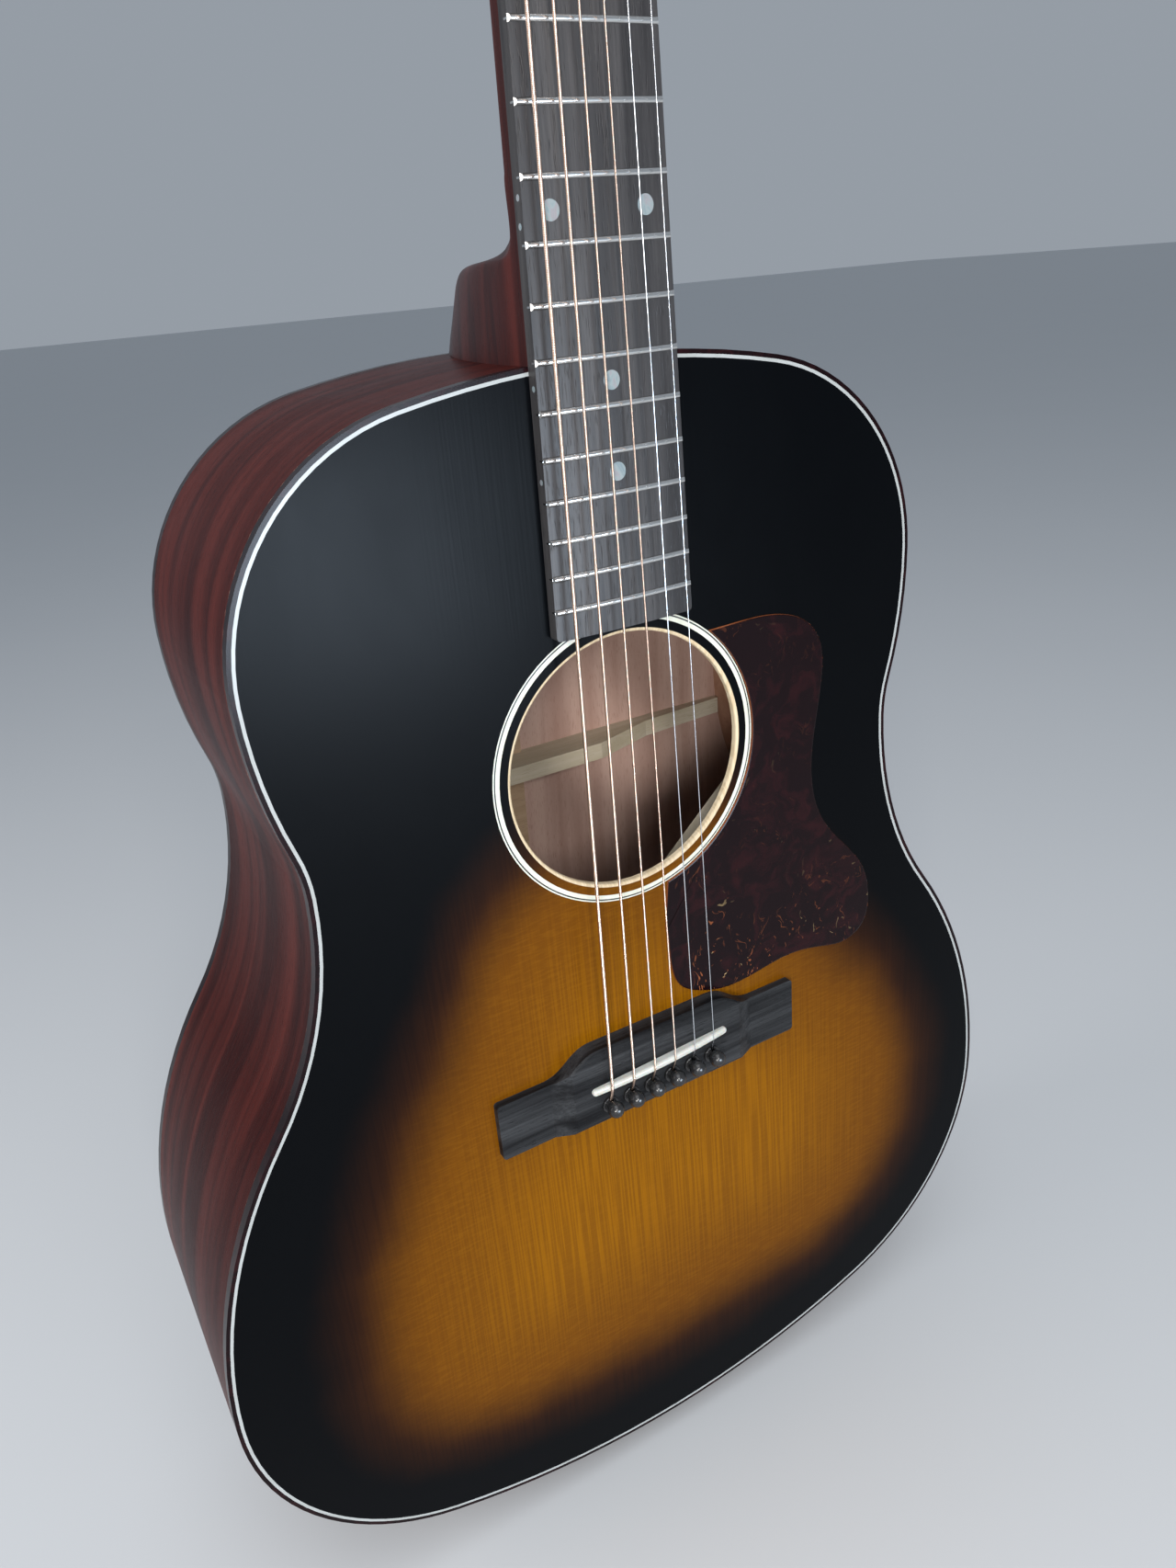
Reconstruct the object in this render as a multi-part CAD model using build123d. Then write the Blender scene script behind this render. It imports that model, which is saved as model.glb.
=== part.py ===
from build123d import *
import os
from math import asin, atan2, cos, degrees, hypot, pi, radians, sin, sqrt, tan

# Steel-string acoustic guitar, held upright.
# X runs from the bass side (-) to the treble side (+), Z up the neck, and the soundboard
# faces -Y.  The origin is the tail end of the body on its centreline, in the plane of the
# soundboard's outer face.  All lengths are millimetres and all angles degrees.

os.makedirs("parts", exist_ok=True)

# ---------------------------------------------------------------- driving dimensions
scale_length = 628.65            # string length that the frets are spaced for
fret_count = 20
joint_fret = 14                  # the fret that stands over the body's upper end

body_length = 505.0
lower_bout = 398.0               # full widths of the body
waist = 262.0
upper_bout = 284.5
lower_bout_z = 129.0             # heights of those widths
waist_z = 342.5
upper_bout_z = 415.0
tail_radius = 115.5              # outline arcs: below the lower bout
hip_radius = 214.0               # above the lower bout
chest_radius = 181.0             # below the upper bout
shoulder_radius = 84.2           # above the upper bout
depth_neck = 108.0               # body depth on the centreline, at the two ends
depth_tail = 127.0
dome_radius = 4500.0             # the arched back is part of a sphere

top_thick = 2.8
back_thick = 2.6
side_thick = 2.2
binding_thick = 1.6
binding_tall = 4.5
purfling_wide = 1.2
purfling_deep = 1.5
lining_wide = 5.5
lining_tall = 13.0

soundhole_z = 357.5
soundhole_r = 51.0
soundhole_round = 0.9            # rounding of the hole's outer edge
rosette_r = 58.5
rosette_thin = 0.55              # width of the outer white and of the black ring
rosette_wide = 1.7               # width of the inner white ring
rosette_deep = 1.0

brace_wide = 8.0
brace_tall = 15.0
x_brace_angle = 49.0             # each leg from the centreline
x_brace_z = 273.0                # where the legs cross
bridge_plate_thick = 2.6
back_brace_zs = (438.0, 318.5, 205.0, 95.0)
back_brace_wide = 8.0
back_brace_tall = 19.0
back_strip_wide = 18.0
back_strip_thick = 2.4
block_half_wide = 38.0
neck_block_long = 45.0
tail_block_long = 22.0

board_wide_nut = 44.9
board_wide_joint = 54.9
board_thick = 6.2
board_radius = 305.0
board_end_past_last_fret = 10.5
fret_crown_tall = 1.05
fret_crown_wide = 2.2
fret_tang = 0.6
fret_tang_deep = 2.2
fret_bevel = 30.0
dot_d = 6.3
side_dot_d = 2.0
dot_thick = 1.5
double_dot_x = 17.5
dot_frets = (3, 5, 7, 9, 12, 15, 17)

nut_long = 5.0
nut_action = 0.35                # string above the first fret's crown, at the nut
slot_gap = 0.1                   # string's play in its nut slot
nut_break = 0.9                  # the string bends this far past the nut
neck_depth_nut = 15.0
neck_depth_heel = 18.6
neck_power = 1.85                # superellipse exponent of the neck's back
heel_rise = 31.0                 # square part of the heel, above the body
heel_throat = 24.0               # from there up to where the shaft is plain
heel_cap_thick = 2.5
tenon_long = 18.0
tenon_half_wide = 13.0
tenon_flare = 4.0
joint_gap = 0.1                  # glue gap round the dovetail

head_tilt = 15.0
head_thick = 14.0                # with its overlay
overlay_thick = 1.5
head_long = 176.0
head_half_wide_low = 33.0
head_half_wide_top = 38.5
head_flare_y = 30.0              # where the headstock reaches its lower width
head_turn_y = 20.0               # where the bend from the shaft ends
head_arch = 9.0                  # rise of the headstock's top edge

rod_d = 4.8
rod_axis_deep = 7.0              # below the fingerboard's glue plane
rod_gap = 0.05
rod_nut_flats = 7.0
rod_nut_long = 8.0
rod_pocket_r = 5.0
rod_cover_thick = 2.2

post_spacing = 35.6
first_post_y = 46.0
post_x = 22.5
post_r = 3.0
post_above = 13.5
post_hole_r = 0.9
bushing_r = 4.2
bushing_long = 8.0
bushing_flange_r = 5.4
bushing_flange = 1.2
shaft_gap = 0.06                 # radial clearance of every turning shaft
plate_thick = 1.0
plate_half_wide = 9.0
plate_over = 17.0                # plate past the outer posts

gear_teeth = 14
gear_module = 0.7
gear_face = 3.2
worm_pitch_r = 2.55
worm_long = 8.4
mesh_addendum = 0.72             # of the module, on wheel and worm
mesh_dedendum = 1.15
worm_tooth_share = 0.32          # of the pitch, at the pitch line
gear_tooth_share = 0.36
wheel_phase = 0.875              # of a tooth: brings a gap of the wheel over the thread
worm_axis_up = 3.7               # above the plate
lug_thick = 1.4
lug_half = 2.9
shaft_r = 1.6
button_long = 15.0
button_wide = 17.0
button_thick = 7.5

bridge_half_long = 75.0
bridge_tail_v = -22.3            # bridge edges, measured from the scale's end
bridge_wing_v = 4.5
bridge_belly_v = 14.2
bridge_thick = 7.6
wing_thick = 3.5
centre_half = 42.0               # the raised centre of the bridge
wing_start = 51.0
belly_half = 29.0
saddle_long = 68.5
saddle_thick = 3.2
saddle_v = -3.4
saddle_slant = 2.5
saddle_slot_deep = 4.5
saddle_height = 11.3             # crown above the soundboard
pin_row_v = -12.8
pin_spacing = 10.45
pin_r = 2.5
pin_gap = 0.08
pin_long = 26.0
pin_collar_r = 3.8
pin_collar = 1.3
pin_ball_r = 3.6
pin_ball_up = 4.8                # ball's centre above the bridge
pin_groove = 1.75

string_ds = (1.35, 1.07, 0.81, 0.66, 0.43, 0.33)
nut_spacing = 7.28
string_in_pin = 1.75             # string's axis from the pin's axis
wrap_gap = 0.3
crest_lift = 0.1                 # corner above the saddle, because the bend cuts inside it
wrap_up = 1.6                    # string reaches its post this far above the bushing
turn_gap = 0.02                  # between turns of string on the post
ball_end_r = 1.9

guard_thick = 0.9
guard_gap = 0.2                  # pickguard to rosette

end_pin_shaft_r = 4.5
end_pin_flange_r = 7.5
end_pin_head_r = 6.5
end_pin_neck_r = 4.2

# ---------------------------------------------------------------- derived places
joint_z = body_length
scale_end_z = joint_z - scale_length * 2 ** (-joint_fret / 12)
nut_z = scale_end_z + scale_length
turn_z = nut_z - 24              # where the shaft starts to bend into the headstock
wrap_z = bushing_flange + wrap_up
board_end_z = scale_end_z + scale_length * 2 ** (-fret_count / 12) - board_end_past_last_fret
crown_y = -(board_thick + fret_crown_tall)
bridge_top = -bridge_thick
rows = range(6)
head = Plane(
    origin=(0, 0, nut_z + nut_long),
    x_dir=(1, 0, 0),
    z_dir=(0, -cos(radians(head_tilt)), sin(radians(head_tilt))),
)


def board_half(z):
    """Half width of the fingerboard at height z."""
    share = (nut_z - z) / (nut_z - joint_z)
    return (board_wide_nut + (board_wide_joint - board_wide_nut) * share) / 2


def fret_z(n):
    return scale_end_z + scale_length * 2 ** (-n / 12)


def crown_drop(x):
    """How far a surface of the fingerboard's radius falls at x from its middle."""
    return board_radius - sqrt(board_radius**2 - x * x)


# ---------------------------------------------------------------- small helpers
def box(x0, x1, y0, y1, z0, z1):
    return Pos((x0 + x1) / 2, (y0 + y1) / 2, (z0 + z1) / 2) * Box(x1 - x0, y1 - y0, z1 - z0)


def rod_y(r, x, z, y0, y1):
    """A round bar along Y."""
    return Pos(x, (y0 + y1) / 2, z) * Rot(90, 0, 0) * Cylinder(r, y1 - y0)


def rod_z(r, x, y, z0, z1):
    return Pos(x, y, (z0 + z1) / 2) * Cylinder(r, z1 - z0)


def rod_x(r, y, z, x0, x1):
    return Pos((x0 + x1) / 2, y, z) * Rot(0, 90, 0) * Cylinder(r, x1 - x0)


def along_y(face, y0, y1):
    """Extrudes a face that lies in the plane Y = 0 from y0 to y1."""
    return Pos(0, y0, 0) * extrude(face, amount=y1 - y0, dir=(0, 1, 0))


def flat_xz(points):
    return make_face(Polyline([(x, 0, z) for x, z in points], close=True))


def solids_of(*shapes):
    """One compound of the separate solids of several shapes."""
    return Compound(children=[s for shape in shapes for s in shape.solids()])


def write(name, shape):
    export_step(shape, f"parts/{name}.step")


# ---------------------------------------------------------------- body outline
def outline_arcs():
    """Right half of the body's outline, from tail to neck: centre, radius, start, end."""
    w_low, w_mid, w_up = lower_bout / 2, waist / 2, upper_bout / 2
    reach = w_low - tail_radius
    tail_r = (lower_bout_z**2 + reach**2 - tail_radius**2) / (2 * (lower_bout_z - tail_radius))
    hip_sum = ((w_low - w_mid) ** 2 + (waist_z - lower_bout_z) ** 2) / (2 * (w_low - w_mid))
    chest_sum = ((w_up - w_mid) ** 2 + (upper_bout_z - waist_z) ** 2) / (2 * (w_up - w_mid))
    rise = body_length - upper_bout_z
    run = w_up - shoulder_radius
    top_r = (rise**2 + run**2 - shoulder_radius**2) / (2 * (rise - shoulder_radius))
    circles = [
        ((0, tail_r), tail_r, 1),
        ((w_low - tail_radius, lower_bout_z), tail_radius, 1),
        ((w_low - hip_radius, lower_bout_z), hip_radius, 1),
        ((w_mid + hip_sum - hip_radius, waist_z), hip_sum - hip_radius, -1),
        ((w_mid + chest_sum - chest_radius, waist_z), chest_sum - chest_radius, -1),
        ((w_up - chest_radius, upper_bout_z), chest_radius, 1),
        ((w_up - shoulder_radius, upper_bout_z), shoulder_radius, 1),
        ((0, body_length - top_r), top_r, 1),
    ]
    joints = [(0, 0)]
    for (c0, r0, s0), (c1, r1, s1) in zip(circles, circles[1:]):
        if c0[1] == c1[1]:
            joints.append((c0[0] + s0 * r0, c0[1]))
            continue
        ux, uz = c1[0] - c0[0], c1[1] - c0[1]
        length = hypot(ux, uz)
        way = 1 if (s0 != s1 or r0 > r1) else -1
        joints.append((c0[0] + way * ux / length * r0, c0[1] + way * uz / length * r0))
    joints.append((0, body_length))
    return [(c, r, s, a, b) for (c, r, s), a, b in zip(circles, joints, joints[1:])]


ARCS = outline_arcs()


def outline(inset):
    """The body's outline as a face in the plane Y = 0, moved in by inset."""
    edges = []
    for (cx, cz), r, side, start, end in ARCS:
        points = []
        a0 = atan2(start[1] - cz, start[0] - cx)
        a1 = atan2(end[1] - cz, end[0] - cx)
        turn = (a1 - a0 + pi) % (2 * pi) - pi
        for a in (a0, a0 + turn / 2, a1):
            points.append((cx + (r - side * inset) * cos(a), 0, cz + (r - side * inset) * sin(a)))
        edges.append(ThreePointArc(*points))
        edges.append(ThreePointArc(*[(-x, y, z) for x, y, z in points]))
    return make_face(Wire(edges))


def half_width(z, inset=0.0):
    """Half width of the body at height z, moved in by inset."""
    for (cx, cz), r, side, start, end in ARCS:
        if min(start[1], end[1]) <= z <= max(start[1], end[1]):
            reach = r - side * inset
            return cx + side * sqrt(max(reach**2 - (z - cz) ** 2, 0))
    return 0


def dome_centre():
    """Centre (y, z) of the back's sphere, through both ends of the outer back."""
    half = hypot(body_length, depth_tail - depth_neck) / 2
    away = sqrt(dome_radius**2 - half**2)
    uy = (depth_neck - depth_tail) / (2 * half)
    uz = body_length / (2 * half)
    return (depth_tail + depth_neck) / 2 - uz * away, body_length / 2 + uy * away


DOME_Y, DOME_Z = dome_centre()
FAR_BACK = depth_tail + 30


def dome(inset):
    """Solid sphere whose surface is the back's outer face, moved in by inset."""
    return Pos(0, DOME_Y, DOME_Z) * Sphere(dome_radius - inset)


def back_y(x, z, inset=0.0):
    return DOME_Y + sqrt((dome_radius - inset) ** 2 - x * x - (z - DOME_Z) ** 2)


def ring(inset, wide, y0, y1):
    """A band that follows the body's outline."""
    return along_y(outline(inset), y0, y1) - along_y(outline(inset + wide), y0 - 1, y1 + 1)


def shell(inset, thick, solid):
    """The part of a solid between two spheres of the back."""
    return (solid & dome(inset)) - dome(inset + thick)


# ---------------------------------------------------------------- neck joint
def dovetail(gap):
    """Wedge that locks the neck in the body, grown by gap on its flanks and ends."""
    z0 = joint_z - tenon_long - gap
    z1 = joint_z + 0.5
    wide = tenon_half_wide + tenon_flare + gap
    narrow = tenon_half_wide - tenon_flare * 0.5 / tenon_long + gap
    face = flat_xz([(-narrow, z1), (narrow, z1), (wide, z0), (-wide, z0)])
    return along_y(face, 0, depth_neck * 0.82 + gap)


def heel_depth():
    return depth_neck - 1.0 - heel_cap_thick


# ---------------------------------------------------------------- body pieces
def make_soundboard():
    plate = along_y(outline(binding_thick + purfling_wide), 0, top_thick)
    plate += along_y(outline(binding_thick), purfling_deep, top_thick)
    hole = rod_y(soundhole_r, 0, soundhole_z, -1, top_thick + 1)
    plate -= hole
    rim = plate.edges().filter_by(GeomType.CIRCLE).filter_by(
        lambda e: abs(e.radius - soundhole_r) < 1e-6 and abs(e.center().Y) < 1e-6
    )
    plate = fillet(rim, soundhole_round)
    wide = 2 * rosette_thin + rosette_wide
    groove = rod_y(rosette_r, 0, soundhole_z, -1, rosette_deep)
    groove -= rod_y(rosette_r - wide, 0, soundhole_z, -2, rosette_deep + 1)
    plate -= groove
    plate -= dovetail(joint_gap)
    for x, z in pin_places():
        plate -= rod_y(pin_r + pin_gap, x, z, -1, top_thick + 1)
    return plate


def make_rosette():
    """White and black rings let into the soundboard, from the outside in."""
    edges = [rosette_r, rosette_r - rosette_thin, rosette_r - 2 * rosette_thin]
    edges.append(edges[-1] - rosette_wide)
    rings = []
    for outer, inner in zip(edges, edges[1:]):
        piece = rod_y(outer, 0, soundhole_z, 0, rosette_deep)
        rings.append(piece - rod_y(inner, 0, soundhole_z, -1, rosette_deep + 1))
    return solids_of(rings[0], rings[2]), rings[1]


def make_sides():
    band = ring(0, side_thick, top_thick, FAR_BACK) & dome(back_thick)
    band -= ring(-1, binding_thick + 1, 0, binding_tall)
    band -= shell(-5, binding_tall + 5, ring(-1, binding_thick + 1, 60, FAR_BACK + 20))
    band -= dovetail(joint_gap)
    band -= rod_z(end_pin_shaft_r, 0, end_pin_y(), -5, 10)
    bass = band & box(-300, 0, -10, 200, -10, body_length + 10)
    treble = band & box(0, 300, -10, 200, -10, body_length + 10)
    return bass, treble


def make_back():
    return shell(0, back_thick, along_y(outline(binding_thick), 60, FAR_BACK))


def make_front_edge():
    binding = ring(0, binding_thick, 0, binding_tall)
    purfling = ring(binding_thick, purfling_wide, 0, purfling_deep)
    tenon = dovetail(joint_gap)
    return binding - tenon, purfling - tenon


def make_back_edge():
    return shell(0, binding_tall, ring(0, binding_thick, 60, FAR_BACK))


def block_slot(grow):
    """Space of the two end blocks, where the linings stop."""
    half = block_half_wide + grow
    low = box(-half, half, -10, 200, -10, side_thick + tail_block_long + grow)
    high = box(-half, half, -10, 200, joint_z - neck_block_long - grow, joint_z + 10)
    return low + high


def make_linings():
    front = ring(side_thick, lining_wide, top_thick, top_thick + lining_tall)
    rear = shell(back_thick, lining_tall, ring(side_thick, lining_wide, 60, FAR_BACK))
    return solids_of(front - block_slot(0), rear - block_slot(0))


def make_blocks():
    inside = along_y(outline(side_thick), top_thick, FAR_BACK) & dome(back_thick)
    half = block_half_wide
    neck_block = inside & box(-half, half, 0, 200, joint_z - neck_block_long, joint_z + 5)
    neck_block -= dovetail(joint_gap)
    tail_block = inside & box(-half, half, 0, 200, -5, side_thick + tail_block_long)
    tail_block -= rod_z(end_pin_shaft_r, 0, end_pin_y(), -5, 40)
    return neck_block, tail_block


def bar(x0, z0, x1, z1, wide, tall):
    """A brace glued under the soundboard, with ends that taper to a quarter."""
    long = hypot(x1 - x0, z1 - z0)
    ramp = min(28.0, long / 3)
    low = tall / 4
    y = top_thick
    profile = [(0, y), (long, y), (long, y + low), (long - ramp, y + tall), (ramp, y + tall), (0, y + low)]
    face = make_face(Polyline([(x, p, 0) for x, p in profile], close=True))
    solid = extrude(face, amount=wide / 2, both=True, dir=(0, 0, 1))
    return Pos(x0, 0, z0) * Rot(0, -degrees(atan2(z1 - z0, x1 - x0)), 0) * solid


def x_leg(side):
    """One leg of the X brace, from the upper bout's far side to the lower bout's near side."""
    dx, dz = sin(radians(x_brace_angle)), cos(radians(x_brace_angle))
    inset = side_thick + lining_wide + 1.0
    up = reach_to_edge(-side * dx, dz, inset)
    down = reach_to_edge(side * dx, -dz, inset)
    return bar(
        -side * dx * up, x_brace_z + dz * up, side * dx * down, x_brace_z - dz * down,
        brace_wide, brace_tall,
    )


def reach_to_edge(dx, dz, inset):
    """Length of a leg from the crossing until its corner meets the linings."""
    length = 10.0
    while True:
        x, z = dx * length, x_brace_z + dz * length
        corners = [(x + s * dz * brace_wide / 2, z - s * dx * brace_wide / 2) for s in (-1, 1)]
        if any(abs(cx) > half_width(cz, inset) for cx, cz in corners):
            return length - 1.0
        length += 0.5


def make_x_braces():
    """The two legs, half lapped where they cross."""
    bass, treble = x_leg(-1), x_leg(1)
    lap = top_thick + brace_tall / 2
    treble_low = treble & box(-200, 200, lap, 40, 0, body_length)
    treble_high = treble & box(-200, 200, 0, lap, 0, body_length)
    crossing = bass & treble
    bass -= crossing & box(-30, 30, lap, 40, x_brace_z - 30, x_brace_z + 30)
    whole = treble_low + treble_high
    whole -= crossing & box(-30, 30, 0, lap, x_brace_z - 30, x_brace_z + 30)
    return solids_of(bass, whole)


def make_top_braces():
    """Transverse, soundhole, finger and tone braces."""
    wide = brace_wide
    tall = brace_tall
    top_z = board_end_z + 14.0
    cross = half_width(top_z + wide, side_thick + lining_wide + 1.0)
    bars = [bar(-cross, top_z, cross, top_z, wide + 4, tall)]
    hole_x = soundhole_r + 9.0
    hole_low = x_brace_z + hole_x / tan(radians(x_brace_angle)) + wide * 1.5
    for s in (-1, 1):
        bars.append(bar(s * hole_x, soundhole_z + 36, s * hole_x, hole_low, wide, 4))
        bars.append(bar(s * 66, x_brace_z - 28, s * 112, x_brace_z - 4, wide - 2, tall * 0.6))
        bars.append(bar(s * 98, x_brace_z - 52, s * 138, x_brace_z - 31, wide - 2, tall * 0.6))
    tail = scale_end_z + bridge_tail_v
    bars.append(bar(-96, tail - 24, 46, tail - 92, wide - 1, tall * 0.75))
    bars.append(bar(-84, tail - 64, 8, tail - 108, wide - 1, tall * 0.75))
    return solids_of(*bars)


def make_bridge_plate():
    """Hardwood patch under the bridge, between the X brace's legs."""
    z1 = scale_end_z + bridge_belly_v - 2
    z0 = scale_end_z + bridge_tail_v - 10
    slope = tan(radians(x_brace_angle))
    clear = brace_wide / 2 / cos(radians(x_brace_angle)) + 2.0
    high = (x_brace_z - z1) * slope - clear
    low = min((x_brace_z - z0) * slope - clear, bridge_half_long + 12)
    face = flat_xz([(-low, z0), (low, z0), (high, z1), (-high, z1)])
    plate = along_y(face, top_thick, top_thick + bridge_plate_thick)
    for x, z in pin_places():
        plate -= rod_y(pin_r + pin_gap, x, z, 0, 20)
    return plate


def back_brace(z):
    """A brace across the back, scalloped at both ends, cut to the back's dome."""
    clear = side_thick + lining_wide + 1
    reach = min(half_width(z - 6, clear), half_width(z + 6, clear))
    crest = back_y(0, z, back_thick) - back_brace_tall
    ends = back_y(reach, z, back_thick) - 4.0
    hollow = 0.62 * reach
    right = [
        (0, crest), (0.36 * reach, crest), (hollow, ends - 3.0), (reach, ends), (reach, 160),
    ]
    left = [(-x, y) for x, y in reversed(right[1:])]
    face = make_face(Polyline([(x, y, 0) for x, y in right + left], close=True))
    solid = extrude(face, amount=back_brace_wide / 2, both=True, dir=(0, 0, 1))
    return (Pos(0, 0, z) * solid) & dome(back_thick)


def make_back_braces():
    return solids_of(*[back_brace(z) for z in back_brace_zs])


def make_back_strip():
    """Crossgrain strip over the back's centre joint, between the braces."""
    half = back_strip_wide / 2
    z0 = side_thick + tail_block_long
    z1 = joint_z - neck_block_long
    strip = shell(back_thick, back_strip_thick, box(-half, half, 60, 160, z0, z1))
    for z in back_brace_zs:
        strip -= box(-20, 20, 60, 170, z - back_brace_wide / 2, z + back_brace_wide / 2)
    return strip


# ---------------------------------------------------------------- neck
def neck_section(plane, half, deep, power=neck_power):
    """Flat front and rounded back: the neck's cross section."""
    points = []
    for i in range(1, 12):
        a = pi * i / 12
        c = abs(cos(a)) ** (2 / power) * (1 if cos(a) >= 0 else -1)
        points.append((half * c, deep * sin(a) ** (2 / power)))
    points = [(half, 0)] + points + [(-half, 0)]
    curve = Spline(*points, tangents=[(0, 1), (0, -1)])
    return plane * make_face([curve, Line((-half, 0), (half, 0))])


def level(z):
    return Plane(origin=(0, 0, z), x_dir=(1, 0, 0), z_dir=(0, 0, 1))


# Height above the body's end, as a share of heel_rise, and depth, as a share of the
# heel's own, of each section of the heel.
HEEL_PROFILE = (
    (-0.13, 1.06), (0.0, 1.05), (0.3, 1.0), (0.58, 0.945), (0.8, 0.90), (0.93, 0.845), (1.0, 0.72)
)


def heel_sections(count):
    """Height and depth of the heel's first sections, from the bottom up."""
    deep = heel_depth()
    return [(joint_z + heel_rise * rise, deep * share) for rise, share in HEEL_PROFILE[:count]]


def neck_blank():
    """Shaft, heel and headstock in one piece, the overlay's thickness included."""
    extra = heel_depth() * HEEL_PROFILE[-1][1] - neck_depth_heel
    throat = ((0.11, 0.34), (0.28, 0.12), (0.60, 0.02))
    top = joint_z + heel_rise + heel_throat
    sections = heel_sections(len(HEEL_PROFILE))
    for share, left in throat:
        z = joint_z + heel_rise + heel_throat * share
        sections.append((z, neck_depth_heel + extra * left))
    sections.append((top, neck_depth_heel))
    heel = loft([neck_section(level(z), board_half(z), d) for z, d in sections])
    shaft = loft([
        neck_section(level(top), board_half(top), neck_depth_heel),
        neck_section(level(turn_z), board_half(turn_z), neck_depth_nut),
    ], ruled=True)
    head_blank = make_head_turn() + head_slab()
    return heel + shaft + head_blank


def make_head_turn():
    """The bend from the shaft into the headstock, up to where the headstock is flat."""
    deep = neck_depth_nut
    proud = 2.0                  # trimmed off again along both front faces
    low = Plane(origin=(0, -proud, 0), x_dir=(1, 0, 0), z_dir=(0, 0, 1))
    end = Plane(
        origin=head.from_local_coords(Vector(0, head_turn_y, proud)),
        x_dir=(1, 0, 0),
        z_dir=head.y_dir,
    )
    turn = loft([
        neck_section(level(turn_z), board_half(turn_z), deep),
        neck_section(low.offset(nut_z - 8), board_half(nut_z - 8), deep + proud),
        neck_section(low.offset(nut_z + 2), board_half(nut_z) + 0.4, deep + proud + 0.4, 2.6),
        neck_section(end, head_half(head_turn_y), head_thick + proud, 7.0),
    ])
    turn -= box(-60, 60, -20, 0, turn_z - 1, nut_z + nut_long)
    return turn - head.location * box(-60, 60, -30, 60, 0, 30)


def overlay_space():
    """Everything in front of the overlay's glue plane, above the nut."""
    front = head.location * box(-80, 80, -30, 400, -overlay_thick, 40)
    return front & box(-80, 80, -80, 120, nut_z + nut_long, nut_z + 400)


def head_half(y):
    """Half width of the headstock at height y of its own plane."""
    low = board_half(nut_z)
    if y >= head_flare_y:
        share = (y - head_flare_y) / (head_long - head_flare_y)
        return head_half_wide_low + (head_half_wide_top - head_half_wide_low) * share
    share = y / head_flare_y
    return low + (head_half_wide_low - low) * (3 * share**2 - 2 * share**3)


def head_face(y0):
    """Outline of the headstock, in its own plane, from y0 up to its arched top."""
    heights = [y0, (y0 + head_flare_y) / 2, head_flare_y]
    flare = [(head_half(y), y) for y in heights]
    top = (head_half(head_long), head_long)
    left = [(-x, y) for x, y in flare]
    edges = [
        Spline(*flare),
        Line(flare[-1], top),
        ThreePointArc(top, (0, head_long + head_arch), (-top[0], top[1])),
        Line((-top[0], top[1]), left[-1]),
        Spline(*left),
        Line(left[0], flare[0]),
    ]
    face = make_face(Wire(edges))
    corners = face.vertices().filter_by(lambda v: v.Y > head_long - 1 and v.Y < head_long + 1)
    return fillet(corners, 7.0)


def head_slab():
    """The flat part of the headstock, through its whole thickness."""
    face = head_face(head_turn_y)
    return head.location * (Pos(0, 0, -head_thick) * extrude(face, amount=head_thick, dir=(0, 0, 1)))


def rod_pocket():
    """Room for the truss rod's nut and its wrench, open at the headstock's face."""
    z0 = nut_z + nut_long + 1.0
    hole = rod_z(rod_pocket_r, 0, rod_axis_deep, z0, z0 + 60)
    return hole + box(-rod_pocket_r, rod_pocket_r, -12, rod_axis_deep, z0, z0 + 32)


def post_places():
    """Headstock-plane x, y of each post, by string from low to high, and its side."""
    places = []
    for k in rows:
        side = -1 if k < 3 else 1
        step = k if k < 3 else 5 - k
        places.append((side * post_x, first_post_y + step * post_spacing, side))
    return places


def make_neck():
    blank = neck_blank() - overlay_space()
    blank -= along_y(outline(0), -10, 200) & box(-60, 60, -5, 200, joint_z - 60, joint_z + 5)
    blank += dovetail(0)
    blank -= box(-60, 60, heel_depth(), 200, joint_z - 60, joint_z + 60)
    blank -= rod_pocket()
    blank -= rod_channel()
    for x, y, _ in post_places():
        blank -= head.location * (Pos(x, y, -head_thick / 2) * Cylinder(bushing_r, head_thick + 4))
    for x, y, deep in plate_screw_places():
        blank -= head.location * (Pos(x, y, -head_thick + deep / 2) * Cylinder(0.9, deep))
    for x, y in cover_screw_places():
        blank -= head.location * (Pos(x, y, -4) * Cylinder(0.8, 8))
    return blank


def make_heel_cap():
    """Cap on the heel's end, following the heel's last section."""
    deep = heel_depth()
    sections = [neck_section(level(z), board_half(z), d) for z, d in heel_sections(4)]
    slab = loft(sections) & box(-60, 60, deep - 0.5, deep, joint_z - 10, joint_z + heel_rise)
    face = slab.faces().filter_by(Axis.Y).sort_by(Axis.Y)[-1]
    cap = extrude(face, amount=heel_cap_thick, dir=(0, 1, 0))
    return cap - along_y(outline(0), -10, 200)


def rod_channel():
    """Slot under the fingerboard for the truss rod."""
    low = joint_z - tenon_long + 4
    high = nut_z + nut_long + 2
    half = rod_d / 2 + rod_gap
    slot = box(-half, half, -1, rod_axis_deep, low, nut_z - 2)
    return slot + rod_z(half, 0, rod_axis_deep, low, high)


def make_truss_rod():
    low = joint_z - tenon_long + 4
    return rod_z(rod_d / 2, 0, rod_axis_deep, low, nut_z + nut_long + 7.0)


def make_truss_rod_nut():
    z0 = nut_z + nut_long + 1.6
    hexagon = extrude(RegularPolygon(rod_nut_flats / 2, 6, major_radius=False), rod_nut_long)
    piece = Pos(0, rod_axis_deep, z0) * hexagon
    return piece - rod_z(rod_d / 2 + shaft_gap, 0, rod_axis_deep, z0 - 1, z0 + 6)


def cover_screw_places():
    return [(0, 39.5), (-6.5, 8.0), (6.5, 8.0)]


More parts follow.
